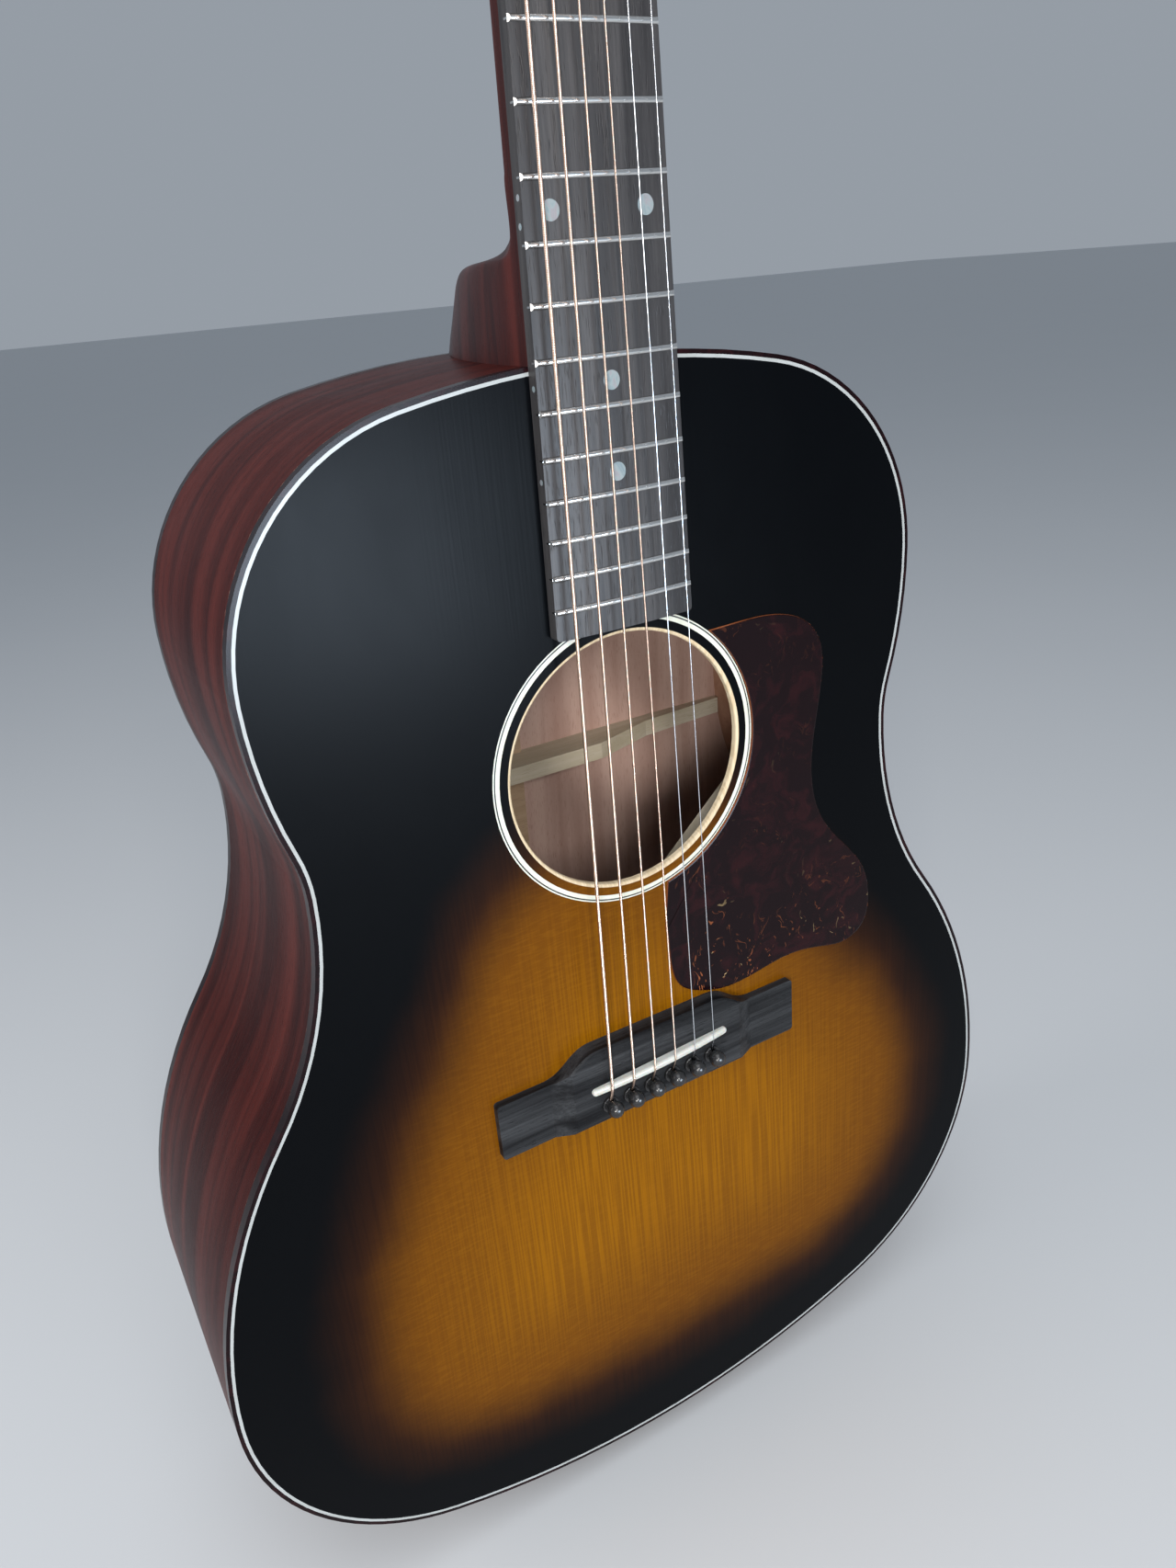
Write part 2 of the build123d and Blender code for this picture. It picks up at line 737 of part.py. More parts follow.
def make_rod_cover():
    """Rounded wedge over the truss rod's pocket."""
    outline_points = [(-9, 4.5), (9, 4.5), (4.5, 42), (-4.5, 42)]
    face = make_face(Polyline(outline_points, close=True))
    face = fillet(face.vertices(), 2.4)
    plate = extrude(face, amount=rod_cover_thick, dir=(0, 0, 1))
    top = plate.faces().sort_by(Axis.Z)[-1]
    plate = chamfer(top.edges(), 0.5)
    for x, y in cover_screw_places():
        plate -= Pos(x, y, 1) * Cylinder(0.8, 6)
        plate -= Pos(x, y, rod_cover_thick) * Cylinder(1.5, 1.6)
    return head.location * plate


def make_overlay():
    slab = (make_head_turn() + head_slab()) & overlay_space()
    slab -= rod_pocket()
    for x, y, _ in post_places():
        slab -= head.location * (Pos(x, y, -1) * Cylinder(bushing_r, 6))
    for x, y in cover_screw_places():
        slab -= head.location * (Pos(x, y, -1) * Cylinder(0.8, 6))
    return slab


# ---------------------------------------------------------------- fingerboard
def board_blank():
    z0, z1 = board_end_z, nut_z
    face = make_face(Polyline([
        (-board_half(z0), 0, z0), (board_half(z0), 0, z0),
        (board_half(z1), 0, z1), (-board_half(z1), 0, z1),
    ], close=True))
    low = face.vertices().filter_by(lambda v: v.Z < z0 + 1)
    face = fillet(low, 1.5)
    solid = along_y(face, -board_thick, 0)
    round_top = rod_z(board_radius, 0, board_radius - board_thick, z0 - 5, z1 + 5)
    return solid & round_top


def fret(n):
    """One fret: a domed crown on a tang, with bevelled ends."""
    z = fret_z(n)
    half = board_half(z)
    y = -board_thick
    arc = ThreePointArc((0, y, z - fret_crown_wide / 2), (0, y - fret_crown_tall, z),
                        (0, y, z + fret_crown_wide / 2))
    face = make_face([arc, Line((0, y, z + fret_crown_wide / 2), (0, y, z - fret_crown_wide / 2))])
    reach = degrees(asin((half + 2) / board_radius))
    axis = Axis((0, board_radius - board_thick, z), (0, 0, 1))
    start = face.rotate(axis, -reach)
    crown = revolve(start, axis, 2 * reach)
    slope = tan(radians(fret_bevel))
    tops = [(half, 0), (half, -board_thick + crown_drop(half)), (half - 4 * slope, -board_thick - 3)]
    ends = tops + [(-x, p) for x, p in reversed(tops)]
    trim = make_face(Polyline([(x, p, 0) for x, p in ends], close=True))
    crown &= Pos(0, 0, z) * extrude(trim, amount=3, both=True, dir=(0, 0, 1))
    return crown + fret_tang_box(n)


def fret_tang_box(n):
    z = fret_z(n)
    half = board_half(z + fret_tang)
    floor = -board_thick + crown_drop(half) + fret_tang_deep
    tang = box(-half, half, -board_thick - 1, floor, z - fret_tang / 2, z + fret_tang / 2)
    round_top = rod_z(board_radius + 0.1, 0, board_radius - board_thick, z - 3, z + 3)
    return tang & round_top


def make_frets():
    return solids_of(*[fret(n) for n in range(1, fret_count + 1)])


def dot_solids():
    """Position dots in the face and on the bass side of the fingerboard."""
    dots = []
    floor = -board_thick + dot_thick
    for n in dot_frets:
        z = (fret_z(n) + fret_z(n - 1)) / 2
        for x in ((-double_dot_x, double_dot_x) if n == 12 else (0,)):
            dots.append(rod_y(dot_d / 2, x, z, -board_thick - 1, floor + crown_drop(x)))
        half = board_half(z)
        gap = 4.0 if n == 12 else 0
        for dz in {gap, -gap}:
            dots.append(rod_x(side_dot_d / 2, -2.6, z + dz, -half - 1, -half + 2))
    return dots


def make_board_and_dots():
    blank = board_blank()
    dots = [d & blank for d in dot_solids()]
    board = blank
    for dot in dots:
        board -= dot
    for n in range(1, fret_count + 1):
        z = fret_z(n)
        half = board_half(z + fret_tang)
        floor = -board_thick + crown_drop(half) + fret_tang_deep
        board -= box(-40, 40, -board_thick - 2, floor, z - fret_tang / 2, z + fret_tang / 2)
    return board, solids_of(*dots)


def nut_x(k):
    return (k - 2.5) * nut_spacing


def string_y_nut(k):
    return crown_y + crown_drop(nut_x(k)) - nut_action - string_ds[k] / 2


def make_nut():
    half = board_half(nut_z)
    blank = box(-half, half, -14, 0, nut_z, nut_z + nut_long)
    blank &= rod_z(board_radius + 1.0, 0, board_radius + crown_y - nut_action, nut_z - 5, nut_z + 10)
    back = blank.edges().filter_by(Axis.Z, reverse=True).sort_by(Axis.Y)[:1]
    blank = fillet(back, 0.8)
    for k in rows:
        r = string_ds[k] / 2 + slot_gap
        x, y = nut_x(k), string_y_nut(k)
        blank -= rod_z(r, x, y, nut_z - 5, nut_z + 10)
        blank -= box(x - r, x + r, -16, y, nut_z - 5, nut_z + 10)
    return blank


# ---------------------------------------------------------------- bridge
def saddle_z(x):
    """Height of the saddle's centreline at x."""
    return scale_end_z + saddle_v + x * tan(radians(saddle_slant))


def pin_places():
    places = []
    for k in rows:
        x = (k - 2.5) * pin_spacing
        places.append((x, scale_end_z + pin_row_v + x * tan(radians(saddle_slant))))
    return places


def bridge_face():
    low = scale_end_z + bridge_tail_v
    wing = scale_end_z + bridge_wing_v
    belly = scale_end_z + bridge_belly_v
    right = [(bridge_half_long, wing), (wing_start + 2, wing), (belly_half, belly)]
    left = [(-x, z) for x, z in right]

    def at(p):
        return (p[0], 0, p[1])

    edges = [
        Line((-bridge_half_long, 0, low), (bridge_half_long, 0, low)),
        Line((bridge_half_long, 0, low), at(right[0])),
        Line(at(right[0]), at(right[1])),
        Spline(at(right[1]), at(right[2]), tangents=[(-1, 0, 0), (-1, 0, 0)]),
        Line(at(right[2]), at(left[2])),
        Spline(at(left[2]), at(left[1]), tangents=[(-1, 0, 0), (-1, 0, 0)]),
        Line(at(left[1]), at(left[0])),
        Line(at(left[0]), (-bridge_half_long, 0, low)),
    ]
    face = make_face(Wire(edges))
    ends = face.vertices().filter_by(lambda v: abs(abs(v.X) - bridge_half_long) < 0.1)
    return fillet(ends, 1.6)


def make_bridge():
    solid = along_y(bridge_face(), bridge_top, 0)
    z0, z1 = scale_end_z - 60, scale_end_z + 60
    for s in (-1, 1):
        ramp = [(centre_half, bridge_top), (wing_start, -wing_thick)]
        cut = ramp + [(90, -wing_thick), (90, -20), (centre_half, -20)]
        face = make_face(Polyline([(s * x, y, 0) for x, y in cut], close=True))
        solid -= Pos(0, 0, z0) * extrude(face, amount=z1 - z0, dir=(0, 0, 1))
    top = solid.faces().filter_by(lambda f: abs(f.center().Y - bridge_top) < 1e-3)[0]
    rims = top.edges().filter_by(lambda e: abs(e.length - (bridge_belly_v - bridge_tail_v)) > 12)
    solid = chamfer(rims.filter_by(lambda e: abs(e.center().X) < belly_half), 0.7)
    solid -= saddle_blank(-20, bridge_top + saddle_slot_deep)
    for x, z in pin_places():
        solid -= rod_y(pin_r + pin_gap, x, z, -20, 5)
    return solid


def saddle_blank(y0, y1):
    """Slanted plate with round ends, between two depths."""
    face = Plane.XZ * SlotOverall(saddle_long, saddle_thick)
    solid = along_y(face, y0, y1)
    return Pos(0, 0, scale_end_z + saddle_v) * Rot(0, -saddle_slant, 0) * solid


def make_saddle():
    solid = saddle_blank(-20, bridge_top + saddle_slot_deep)
    crown = rod_z(board_radius, 0, board_radius - saddle_height, scale_end_z - 30, scale_end_z + 30)
    solid &= crown
    rim = solid.edges().filter_by(lambda e: e.center().Y < bridge_top - 0.5 and e.length > 20)
    return fillet(rim, 1.2)


def make_bridge_pin(k):
    x, z = pin_places()[k]
    shaft = rod_y(pin_r, 0, 0, bridge_top, bridge_top + pin_long - 4)
    tip = Pos(0, bridge_top + pin_long - 2, 0) * Rot(-90, 0, 0) * Cone(pin_r, pin_r * 0.55, 4)
    collar = rod_y(pin_collar_r, 0, 0, bridge_top - pin_collar, bridge_top)
    collar = fillet(collar.edges().sort_by(Axis.Y)[:1], 0.4)
    neck = rod_y(pin_collar_r * 0.7, 0, 0, bridge_top - pin_ball_up, bridge_top)
    ball = Pos(0, bridge_top - pin_ball_up, 0) * Sphere(pin_ball_r)
    pin = shaft + tip + collar + neck + ball
    low = string_in_pin - 0.8
    pin -= box(-pin_groove / 2, pin_groove / 2, bridge_top - 2.3, 40, low, 10)
    return Pos(x, 0, z) * pin


# ---------------------------------------------------------------- strings
def saddle_crown_y(x):
    return -saddle_height + crown_drop(x)


def post_axis_point(k, z):
    x, y, _ = post_places()[k]
    return head.from_local_coords(Vector(x, y, z))


def string_route(k):
    """Corner points of one string and the radius at each corner."""
    r = string_ds[k] / 2
    x, z = pin_places()[k]
    inner = top_thick + bridge_plate_thick + ball_end_r + 0.1
    rise = bridge_top - 0.9
    start = (x, inner, z + string_in_pin + 2.9)
    turn = (x, inner, z + string_in_pin)
    out = (x, rise, z + string_in_pin)
    crest = (x, saddle_crown_y(x) - r - crest_lift, saddle_z(x))
    nut = nut_bend(k)
    return [start, turn, out, crest, nut, touch_point(k)], [1.2, 1.2, 3.0, 6.0]


def nut_bend(k):
    """Corner of the string's run, just past the nut."""
    return (nut_x(k), string_y_nut(k), nut_z + nut_long + nut_break)


def touch_point(k):
    """Where the string's axis becomes tangent to its turn round the post."""
    px, py, side = post_places()[k]
    orbit = post_r + wrap_gap + string_ds[k] / 2
    nut = head.to_local_coords(Vector(*nut_bend(k)))
    dx, dy = px - nut.X, py - nut.Y
    far = hypot(dx, dy)
    lean = atan2(dy, dx) + side * asin(orbit / far)
    length = sqrt(far**2 - orbit**2)
    x, y = nut.X + length * cos(lean), nut.Y + length * sin(lean)
    return head.from_local_coords(Vector(x, y, wrap_z))


def make_string(k):
    points, radii = string_route(k)
    run = FilletPolyline(*points, radius=radii)
    last, before = Vector(points[-1]), Vector(points[-2])
    along = (last - before).normalized()
    orbit = post_r + wrap_gap + string_ds[k] / 2
    centre = post_axis_point(k, wrap_z)
    inward = (centre - last)
    inward = (inward - along * inward.dot(along)).normalized()
    half_turn = ThreePointArc(last, last + inward * orbit + along * orbit, last + inward * (2 * orbit))
    path = Wire(list(run.edges()) + list(half_turn.edges()))
    first = Vector(points[0])
    section = Plane(origin=first, z_dir=Vector(points[1]) - first) * Circle(string_ds[k] / 2)
    tube = sweep(section, path=path)
    ball = Pos(points[0][0], first.Y, first.Z + 1.6) * Rot(0, 90, 0) * Cylinder(ball_end_r, 3.2)
    return ball + tube


# ---------------------------------------------------------------- pickguard
def make_pickguard():
    """Thin plate beside the soundhole; its inner edge follows the rosette."""
    r = rosette_r + guard_gap
    shape = [
        (66, 44), (79, 41.5), (88.5, 36), (94.6, 26), (95.3, 13), (91.4, -10),
        (89.5, -30), (94.6, -52), (109.5, -72), (119.5, -86), (123.2, -103), (119.8, -116),
        (110, -121.4), (96, -119.6), (76, -116.3), (56, -118.6), (40, -119.2), (27, -115.6),
        (17.5, -109.5), (13.2, -99), (12.0, -80),
    ]
    start = (sqrt(r**2 - 43.8**2), 0, 43.8)
    end = (13.6, 0, -sqrt(r**2 - 13.6**2))
    edge = Spline(start, *[(x, 0, z) for x, z in shape], end, tangents=[(1, 0, 0), (0.12, 0, 1)])
    inner = ThreePointArc(end, (r * cos(radians(-20)), 0, r * sin(radians(-20))), start)
    face = Pos(0, 0, soundhole_z) * make_face([edge, inner])
    return along_y(face, -guard_thick, 0)


# ---------------------------------------------------------------- end pin
def end_pin_y():
    return (back_y(0, 0, back_thick) + top_thick) / 2


def make_end_pin():
    """Turned button that plugs the tail block and takes a strap."""
    profile = [
        (0, 22), (end_pin_shaft_r - 0.8, 22), (end_pin_shaft_r, 18), (end_pin_shaft_r, 0),
        (end_pin_flange_r, 0), (end_pin_flange_r, -1.6), (end_pin_neck_r, -3.2),
        (end_pin_neck_r, -6.5), (end_pin_head_r, -8.6), (end_pin_head_r, -12.0),
        (end_pin_head_r - 1.5, -13.6), (0, -14.4),
    ]
    face = make_face(Polyline([(x, 0, z) for x, z in profile], close=True))
    return Pos(0, end_pin_y(), 0) * revolve(face, Axis.Z, 360)


# ---------------------------------------------------------------- tuning machines
# One machine is modelled at its post, for the treble side, in the headstock's own axes:
# x outward, y up the headstock and z out of its face.  Its knob's shaft lies along x.
gear_pitch_r = gear_teeth * gear_module / 2
worm_lead = pi * gear_module
mesh_distance = gear_pitch_r + worm_pitch_r
plate_z = -head_thick - plate_thick
worm_z = plate_z - worm_axis_up
worm_tip_r = worm_pitch_r + mesh_addendum * gear_module
worm_root_r = worm_pitch_r - mesh_dedendum * gear_module
lead_slope = worm_lead / (2 * pi * worm_pitch_r)
lug_x = worm_long / 2 + 0.3


def plate_screw_places():
    places = []
    low = first_post_y - plate_over + 4
    high = first_post_y + 2 * post_spacing + plate_over - 4
    for side in (-1, 1):
        for y in (low, high):
            places.append((side * (post_x - 6.0), y, 9.0))
    return places


def ribbon(r0, r1, x0, x1):
    """Helical strip of the worm between two radii, starting at two places along it."""
    turns = worm_long / worm_lead - 1.6
    edge0 = Pos(0, 0, x0) * Helix(worm_lead, worm_lead * turns, r0)
    edge1 = Pos(0, 0, x1) * Helix(worm_lead, worm_lead * turns, r1)
    return Face.make_surface_from_curves(edge0.edge(), edge1.edge())


def worm_thread():
    """Right-hand trapezoid thread about Z, rooted inside the worm's core."""
    root = worm_root_r - 0.15
    slope = tan(radians(18))
    at_pitch = worm_tooth_share * worm_lead / 2
    low = at_pitch + (worm_pitch_r - root) * slope
    high = at_pitch - (worm_tip_r - worm_pitch_r) * slope
    corners = [(root, -low), (worm_tip_r, -high), (worm_tip_r, high), (root, low)]
    faces = []
    for (r0, x0), (r1, x1) in zip(corners, corners[1:] + corners[:1]):
        faces.append(ribbon(r0, r1, x0, x1))
    turns = worm_long / worm_lead - 1.6
    cap = make_face(Polyline([(r, 0, x) for r, x in corners], close=True))
    end = Pos(0, 0, worm_lead * turns) * Rot(0, 0, 360 * turns) * cap
    faces += [cap.face(), end.face()]
    thread = Solid(Shell(faces))
    if thread.volume < 0:
        thread = Solid(thread.wrapped.Reversed())
    return Pos(0, 0, -worm_lead * turns / 2) * thread


def worm_axis_place(x):
    """A point of the knob's shaft, from the post's axis."""
    return Pos(x, mesh_distance, worm_z)


def make_worm():
    """Worm, its shaft through both lugs and the tang that holds the button."""
    core = Cylinder(worm_root_r, worm_long)
    worm = core + worm_thread()
    reach = button_start() + 6.0
    shaft = Pos(0, 0, (reach - lug_x - 2.4) / 2) * Cylinder(shaft_r, reach + lug_x + 2.4)
    worm += shaft
    return worm_axis_place(0) * Rot(0, 90, 0) * worm


def button_start():
    """Where the button begins, out past the headstock's edge, from the post's axis."""
    widest = head_half(first_post_y + 2 * post_spacing + mesh_distance)
    return widest - post_x + 5.0


def make_button():
    """Oval knob with a collar, bored for its shaft."""
    x0 = button_start()
    collar = Pos(x0 + 1.5, 0, 0) * Rot(0, 90, 0) * Cylinder(2.7, 3)
    section = Plane.YZ.offset(x0 + 2.5)
    oval = loft([
        section * Ellipse(3.0, 2.8),
        section.offset(3.5) * Ellipse(button_wide * 0.40, button_thick * 0.42),
        section.offset(button_long * 0.55) * Ellipse(button_wide / 2, button_thick / 2),
        section.offset(button_long * 0.9) * Ellipse(button_wide * 0.40, button_thick * 0.40),
        section.offset(button_long) * Ellipse(button_wide * 0.24, button_thick * 0.24),
    ])
    knob = collar + oval
    knob -= Pos((x0 + 3.0), 0, 0) * Rot(0, 90, 0) * Cylinder(shaft_r, 6.0 + 0.001)
    return worm_axis_place(0) * knob


def gear_tooth():
    """One slanted tooth of the worm wheel at +Y, which is where the worm lies."""
    tip = gear_pitch_r + mesh_addendum * gear_module
    root = gear_pitch_r - mesh_dedendum * gear_module - 0.3
    half = gear_tooth_share * worm_lead / 2
    slope = tan(radians(19))
    low = half + (gear_pitch_r - root) * slope
    high = half - (tip - gear_pitch_r) * slope
    face = make_face(Polyline([(-low, root), (low, root), (high, tip), (-high, tip)], close=True))
    lean = -lead_slope
    tooth = extrude(face, amount=1.0, dir=(lean * gear_face, 0, gear_face))
    return Pos(-lean * gear_face / 2, 0, -gear_face / 2) * tooth


def make_gear():
    """Worm wheel: slanted teeth on a hub; a gap faces the worm's thread at rest."""
    hub = Cylinder(gear_pitch_r - mesh_dedendum * gear_module, gear_face)
    wheel = hub
    for i in range(gear_teeth):
        wheel += Rot(0, 0, 360 * (i + wheel_phase) / gear_teeth) * gear_tooth()
    return Pos(0, 0, worm_z) * wheel


def make_post(k):
    """Post, worm wheel, wheel screw and the string's turns round the post."""
    low = worm_z - gear_face / 2
    shaft = Pos(0, 0, (low + post_above) / 2) * Cylinder(post_r, post_above - low)
    shaft -= Pos(0, 0, post_above - 3.2) * Rot(90, 0, 0) * Cylinder(post_hole_r, 20)
    rim = shaft.edges().filter_by(GeomType.CIRCLE).sort_by(Axis.Z)[-1:]
    shaft = fillet(rim, 0.6)
    screw_bore = Pos(0, 0, low + 3) * Cylinder(1.2, 6)
    shaft -= screw_bore
    wheel = make_gear() - Pos(0, 0, worm_z) * Cylinder(post_r, 20)
    screw = Pos(0, 0, low - 0.8) * Cylinder(2.6, 1.6)
    screw -= Pos(0, 0, low - 1.6) * Box(6, 0.6, 1.4)
    screw += Pos(0, 0, low + 3) * Cylinder(1.2, 6)
    r = string_ds[k] / 2
    first = wrap_z + 2 * r + wrap_gap + 0.35   # clear of the incoming string
    wraps = []
    for i in range(3):
        turn = Torus(post_r + r + turn_gap, r)
        wraps.append(Pos(0, 0, first + i * (2 * r + turn_gap)) * turn)
    return [shaft, wheel, screw] + wraps


def placed(k, shape):
    """Puts a treble-side piece at string k's post, mirrored for the bass side."""
    x, y, side = post_places()[k]
    if side < 0:
        shape = mirror(shape, Plane.YZ)
    return head.location * (Pos(x, y, 0) * shape)


def make_tuner_plate():
    """Base plate with folded lugs, bored for three posts and three shafts."""
    low = first_post_y - plate_over
    high = first_post_y + 2 * post_spacing + plate_over
    plate = box(-plate_half_wide, plate_half_wide, low, high, plate_z, -head_thick)
    plate = fillet(plate.edges().filter_by(Axis.Z), 3.0)
    for i in range(3):
        y = first_post_y + i * post_spacing
        plate -= Pos(0, y, plate_z) * Cylinder(post_r + shaft_gap + 0.1, 5)
        for s in (-1, 1):
            x0 = s * lug_x if s > 0 else -lug_x - lug_thick
            lug = box(x0, x0 + lug_thick, y + mesh_distance - lug_half, y + mesh_distance + lug_half,
                      worm_z - lug_half, plate_z + 0.5)
            plate += lug
            bore = worm_axis_place(x0 + lug_thick / 2) * Rot(0, 90, 0)
            plate -= Pos(0, y, 0) * (bore * Cylinder(shaft_r + shaft_gap, lug_thick + 1))
    for x, y, _ in plate_screw_places():
        if x > 0:
            plate -= Pos(x - post_x, y, plate_z) * Cylinder(1.2, 5)
    right = head.location * (Pos(post_x, 0, 0) * plate)
    left = head.location * (Pos(-post_x, 0, 0) * mirror(plate, Plane.YZ))
    return solids_of(right, left)


def make_bushings():
    """Flanged sleeves that guide the posts through the headstock's face."""
    pieces = []
    for x, y, _ in post_places():
        sleeve = Pos(0, 0, -bushing_long / 2) * Cylinder(bushing_r, bushing_long)
        flange = Pos(0, 0, bushing_flange / 2) * Cylinder(bushing_flange_r, bushing_flange)
        piece = sleeve + flange
        rim = piece.edges().filter_by(GeomType.CIRCLE).sort_by(Axis.Z)[-1:]
        piece = fillet(rim, 0.5)
        piece -= Cylinder(post_r + shaft_gap, 40)
        pieces.append(head.location * (Pos(x, y, 0) * piece))
    return solids_of(*pieces)


def wood_screw(r_head, tall, r_thread, deep):
    """Domed, slotted screw: head above z = 0 and thread below."""
    piece = Pos(0, 0, tall / 2) * Cylinder(r_head, tall)
    piece = fillet(piece.edges().sort_by(Axis.Z)[-1:], tall * 0.6)
    piece -= Pos(0, 0, tall) * Box(3 * r_head, 0.5, tall)
    return piece + Pos(0, 0, -deep / 2) * Cylinder(r_thread, deep)


def make_head_screws():
    pieces = []
    for x, y, deep in plate_screw_places():
        screw = Rot(180, 0, 0) * wood_screw(2.2, 1.2, 0.9, deep * 0.8 + plate_thick)
        pieces.append(head.location * (Pos(x, y, plate_z) * screw))
    for x, y in cover_screw_places():
        screw = wood_screw(1.5, 0.9, 0.8, 6.0)
        pieces.append(head.location * (Pos(x, y, rod_cover_thick - 0.8) * screw))
    return solids_of(*pieces)


# ---------------------------------------------------------------- build and write
def main():
    soundboard = make_soundboard()
    rosette_white, rosette_black = make_rosette()
    side_bass, side_treble = make_sides()
    binding_front, purfling_front = make_front_edge()
    neck_block, tail_block = make_blocks()
    fingerboard, inlay_dots = make_board_and_dots()
    strings = [make_string(k) for k in rows]
    nodes = {
        "soundboard": soundboard,
        "back": make_back(),
        "side_bass": side_bass,
        "side_treble": side_treble,
        "neck_block": neck_block,
        "tail_block": tail_block,
        "linings": make_linings(),
        "binding_front": binding_front,
        "purfling_front": purfling_front,
        "binding_back": make_back_edge(),
        "rosette_white": rosette_white,
        "rosette_black": rosette_black,
        "x_braces": make_x_braces(),
        "top_braces": make_top_braces(),
        "bridge_plate": make_bridge_plate(),
        "back_braces": make_back_braces(),
        "back_strip": make_back_strip(),
        "neck": make_neck(),
        "heel_cap": make_heel_cap(),
        "truss_rod": make_truss_rod(),
        "truss_rod_nut": make_truss_rod_nut(),
        "truss_rod_cover": make_rod_cover(),
        "headstock_overlay": make_overlay(),
        "headstock_screws": make_head_screws(),
        "fingerboard": fingerboard,
        "inlay_dots": inlay_dots,
        "frets": make_frets(),
        "nut": make_nut(),
        "bridge": make_bridge(),
        "saddle": make_saddle(),
        "wound_strings": solids_of(*strings[:4]),
        "plain_strings": solids_of(*strings[4:]),
        "pickguard": make_pickguard(),
        "end_pin": make_end_pin(),
        "tuner_plates": make_tuner_plate(),
        "tuner_bushings": make_bushings(),
    }
    worm, button = make_worm(), make_button()
    for k in rows:
        nodes[f"tuner_worm_{k + 1}"] = placed(k, worm)
        nodes[f"tuner_button_{k + 1}"] = placed(k, button)
        nodes[f"tuner_post_{k + 1}"] = solids_of(*[placed(k, s) for s in make_post(k)])
        nodes[f"bridge_pin_{k + 1}"] = make_bridge_pin(k)
    for name, shape in nodes.items():
        write(name, shape)


main()
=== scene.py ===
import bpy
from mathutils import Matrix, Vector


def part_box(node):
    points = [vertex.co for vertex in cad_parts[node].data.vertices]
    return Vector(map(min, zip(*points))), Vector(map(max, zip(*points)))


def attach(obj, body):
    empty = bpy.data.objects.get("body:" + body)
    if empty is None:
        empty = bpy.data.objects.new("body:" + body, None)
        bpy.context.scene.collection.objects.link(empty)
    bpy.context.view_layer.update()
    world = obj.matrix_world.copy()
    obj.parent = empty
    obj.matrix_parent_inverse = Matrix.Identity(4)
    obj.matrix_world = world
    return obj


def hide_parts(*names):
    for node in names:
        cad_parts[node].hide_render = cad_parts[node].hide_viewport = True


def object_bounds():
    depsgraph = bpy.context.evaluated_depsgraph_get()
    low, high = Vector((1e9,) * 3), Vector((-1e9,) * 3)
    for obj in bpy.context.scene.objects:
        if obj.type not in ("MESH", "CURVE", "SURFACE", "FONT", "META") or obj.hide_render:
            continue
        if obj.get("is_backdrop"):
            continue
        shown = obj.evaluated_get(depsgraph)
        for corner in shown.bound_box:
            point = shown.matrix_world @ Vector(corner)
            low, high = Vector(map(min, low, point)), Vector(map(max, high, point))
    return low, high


bl_info = {
    "name": "Flat-Top Guitar Finish",
    "version": (1, 0, 0),
    "blender": (4, 5, 0),
    "location": "3D Viewport > Sidebar > Guitar",
    "description": "Lacquers, woods, metals, strings and studio for a sunburst flat-top guitar",
    "category": "Object",
}

import math

import bmesh
import bpy
from bpy.props import FloatProperty, FloatVectorProperty, IntProperty, PointerProperty
from mathutils import Matrix, Vector

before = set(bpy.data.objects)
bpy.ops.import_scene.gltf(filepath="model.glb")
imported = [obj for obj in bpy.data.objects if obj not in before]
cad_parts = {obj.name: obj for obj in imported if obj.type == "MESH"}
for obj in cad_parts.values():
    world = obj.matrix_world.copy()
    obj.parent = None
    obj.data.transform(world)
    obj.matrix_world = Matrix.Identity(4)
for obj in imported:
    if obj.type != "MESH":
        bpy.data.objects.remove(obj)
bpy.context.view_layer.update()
MM = 0.001

# Places on the guitar, in metres from its tail end.
SCALE_END = 0.22497
RIM_MIDDLE = 0.27
SOUNDHOLE = Vector((0.0, 0.0, 0.3575))
HOLE_RADIUS = 0.0521

# How the wound strings run, in metres: side by side at the bridge and at the nut, over the
# last fret, past the nut's edge and clear of the saddle's crest.
PIN_SPACING = 0.01045
NUT_SPACING = 0.00728
NUT_ACTION = 0.00035
NUT_BREAK = 0.0009
CREST_LIFT = 0.0001
SADDLE_SLANT = math.radians(2.5)
BOARD_RADIUS = 0.305
WOUND_WIDTHS = (0.00135, 0.00107, 0.00081, 0.00066)
MIDDLE_STRING = 2.5

# The wrap wire's ridges: shares of the run between which they show, share of a ridge sunk
# into the string, and radius of the string whose turns are the set pitch apart.
WRAP_START, WRAP_END = 0.006, 0.988
WRAP_SUNK = 0.3
WRAP_RADIUS = 0.0006

# The sunburst's soft edge: points round it, anticlockwise from the bass side as seen from the
# front, in mm right of the centreline and above the scale's end. BURST_REACH, in mm, is
# further from the middle than any of them.
BURST_MIDDLE = (5.0, -50.0)
BURST_REACH = 200.0
BURST_EDGE = (
    (-149, -50), (-147, -85), (-147, -117), (-135, -150), (-102, -171), (-50, -180),
    (0, -183), (50, -180), (102, -171), (144, -142), (161, -100), (159, -54),
    (140, -16), (112, 18), (92, 52), (70, 84), (40, 108), (0, 116), (-40, 112),
    (-72, 92), (-95, 50), (-118, 8), (-134, -30),
)


# ------------------------------------------------------------------ node helpers


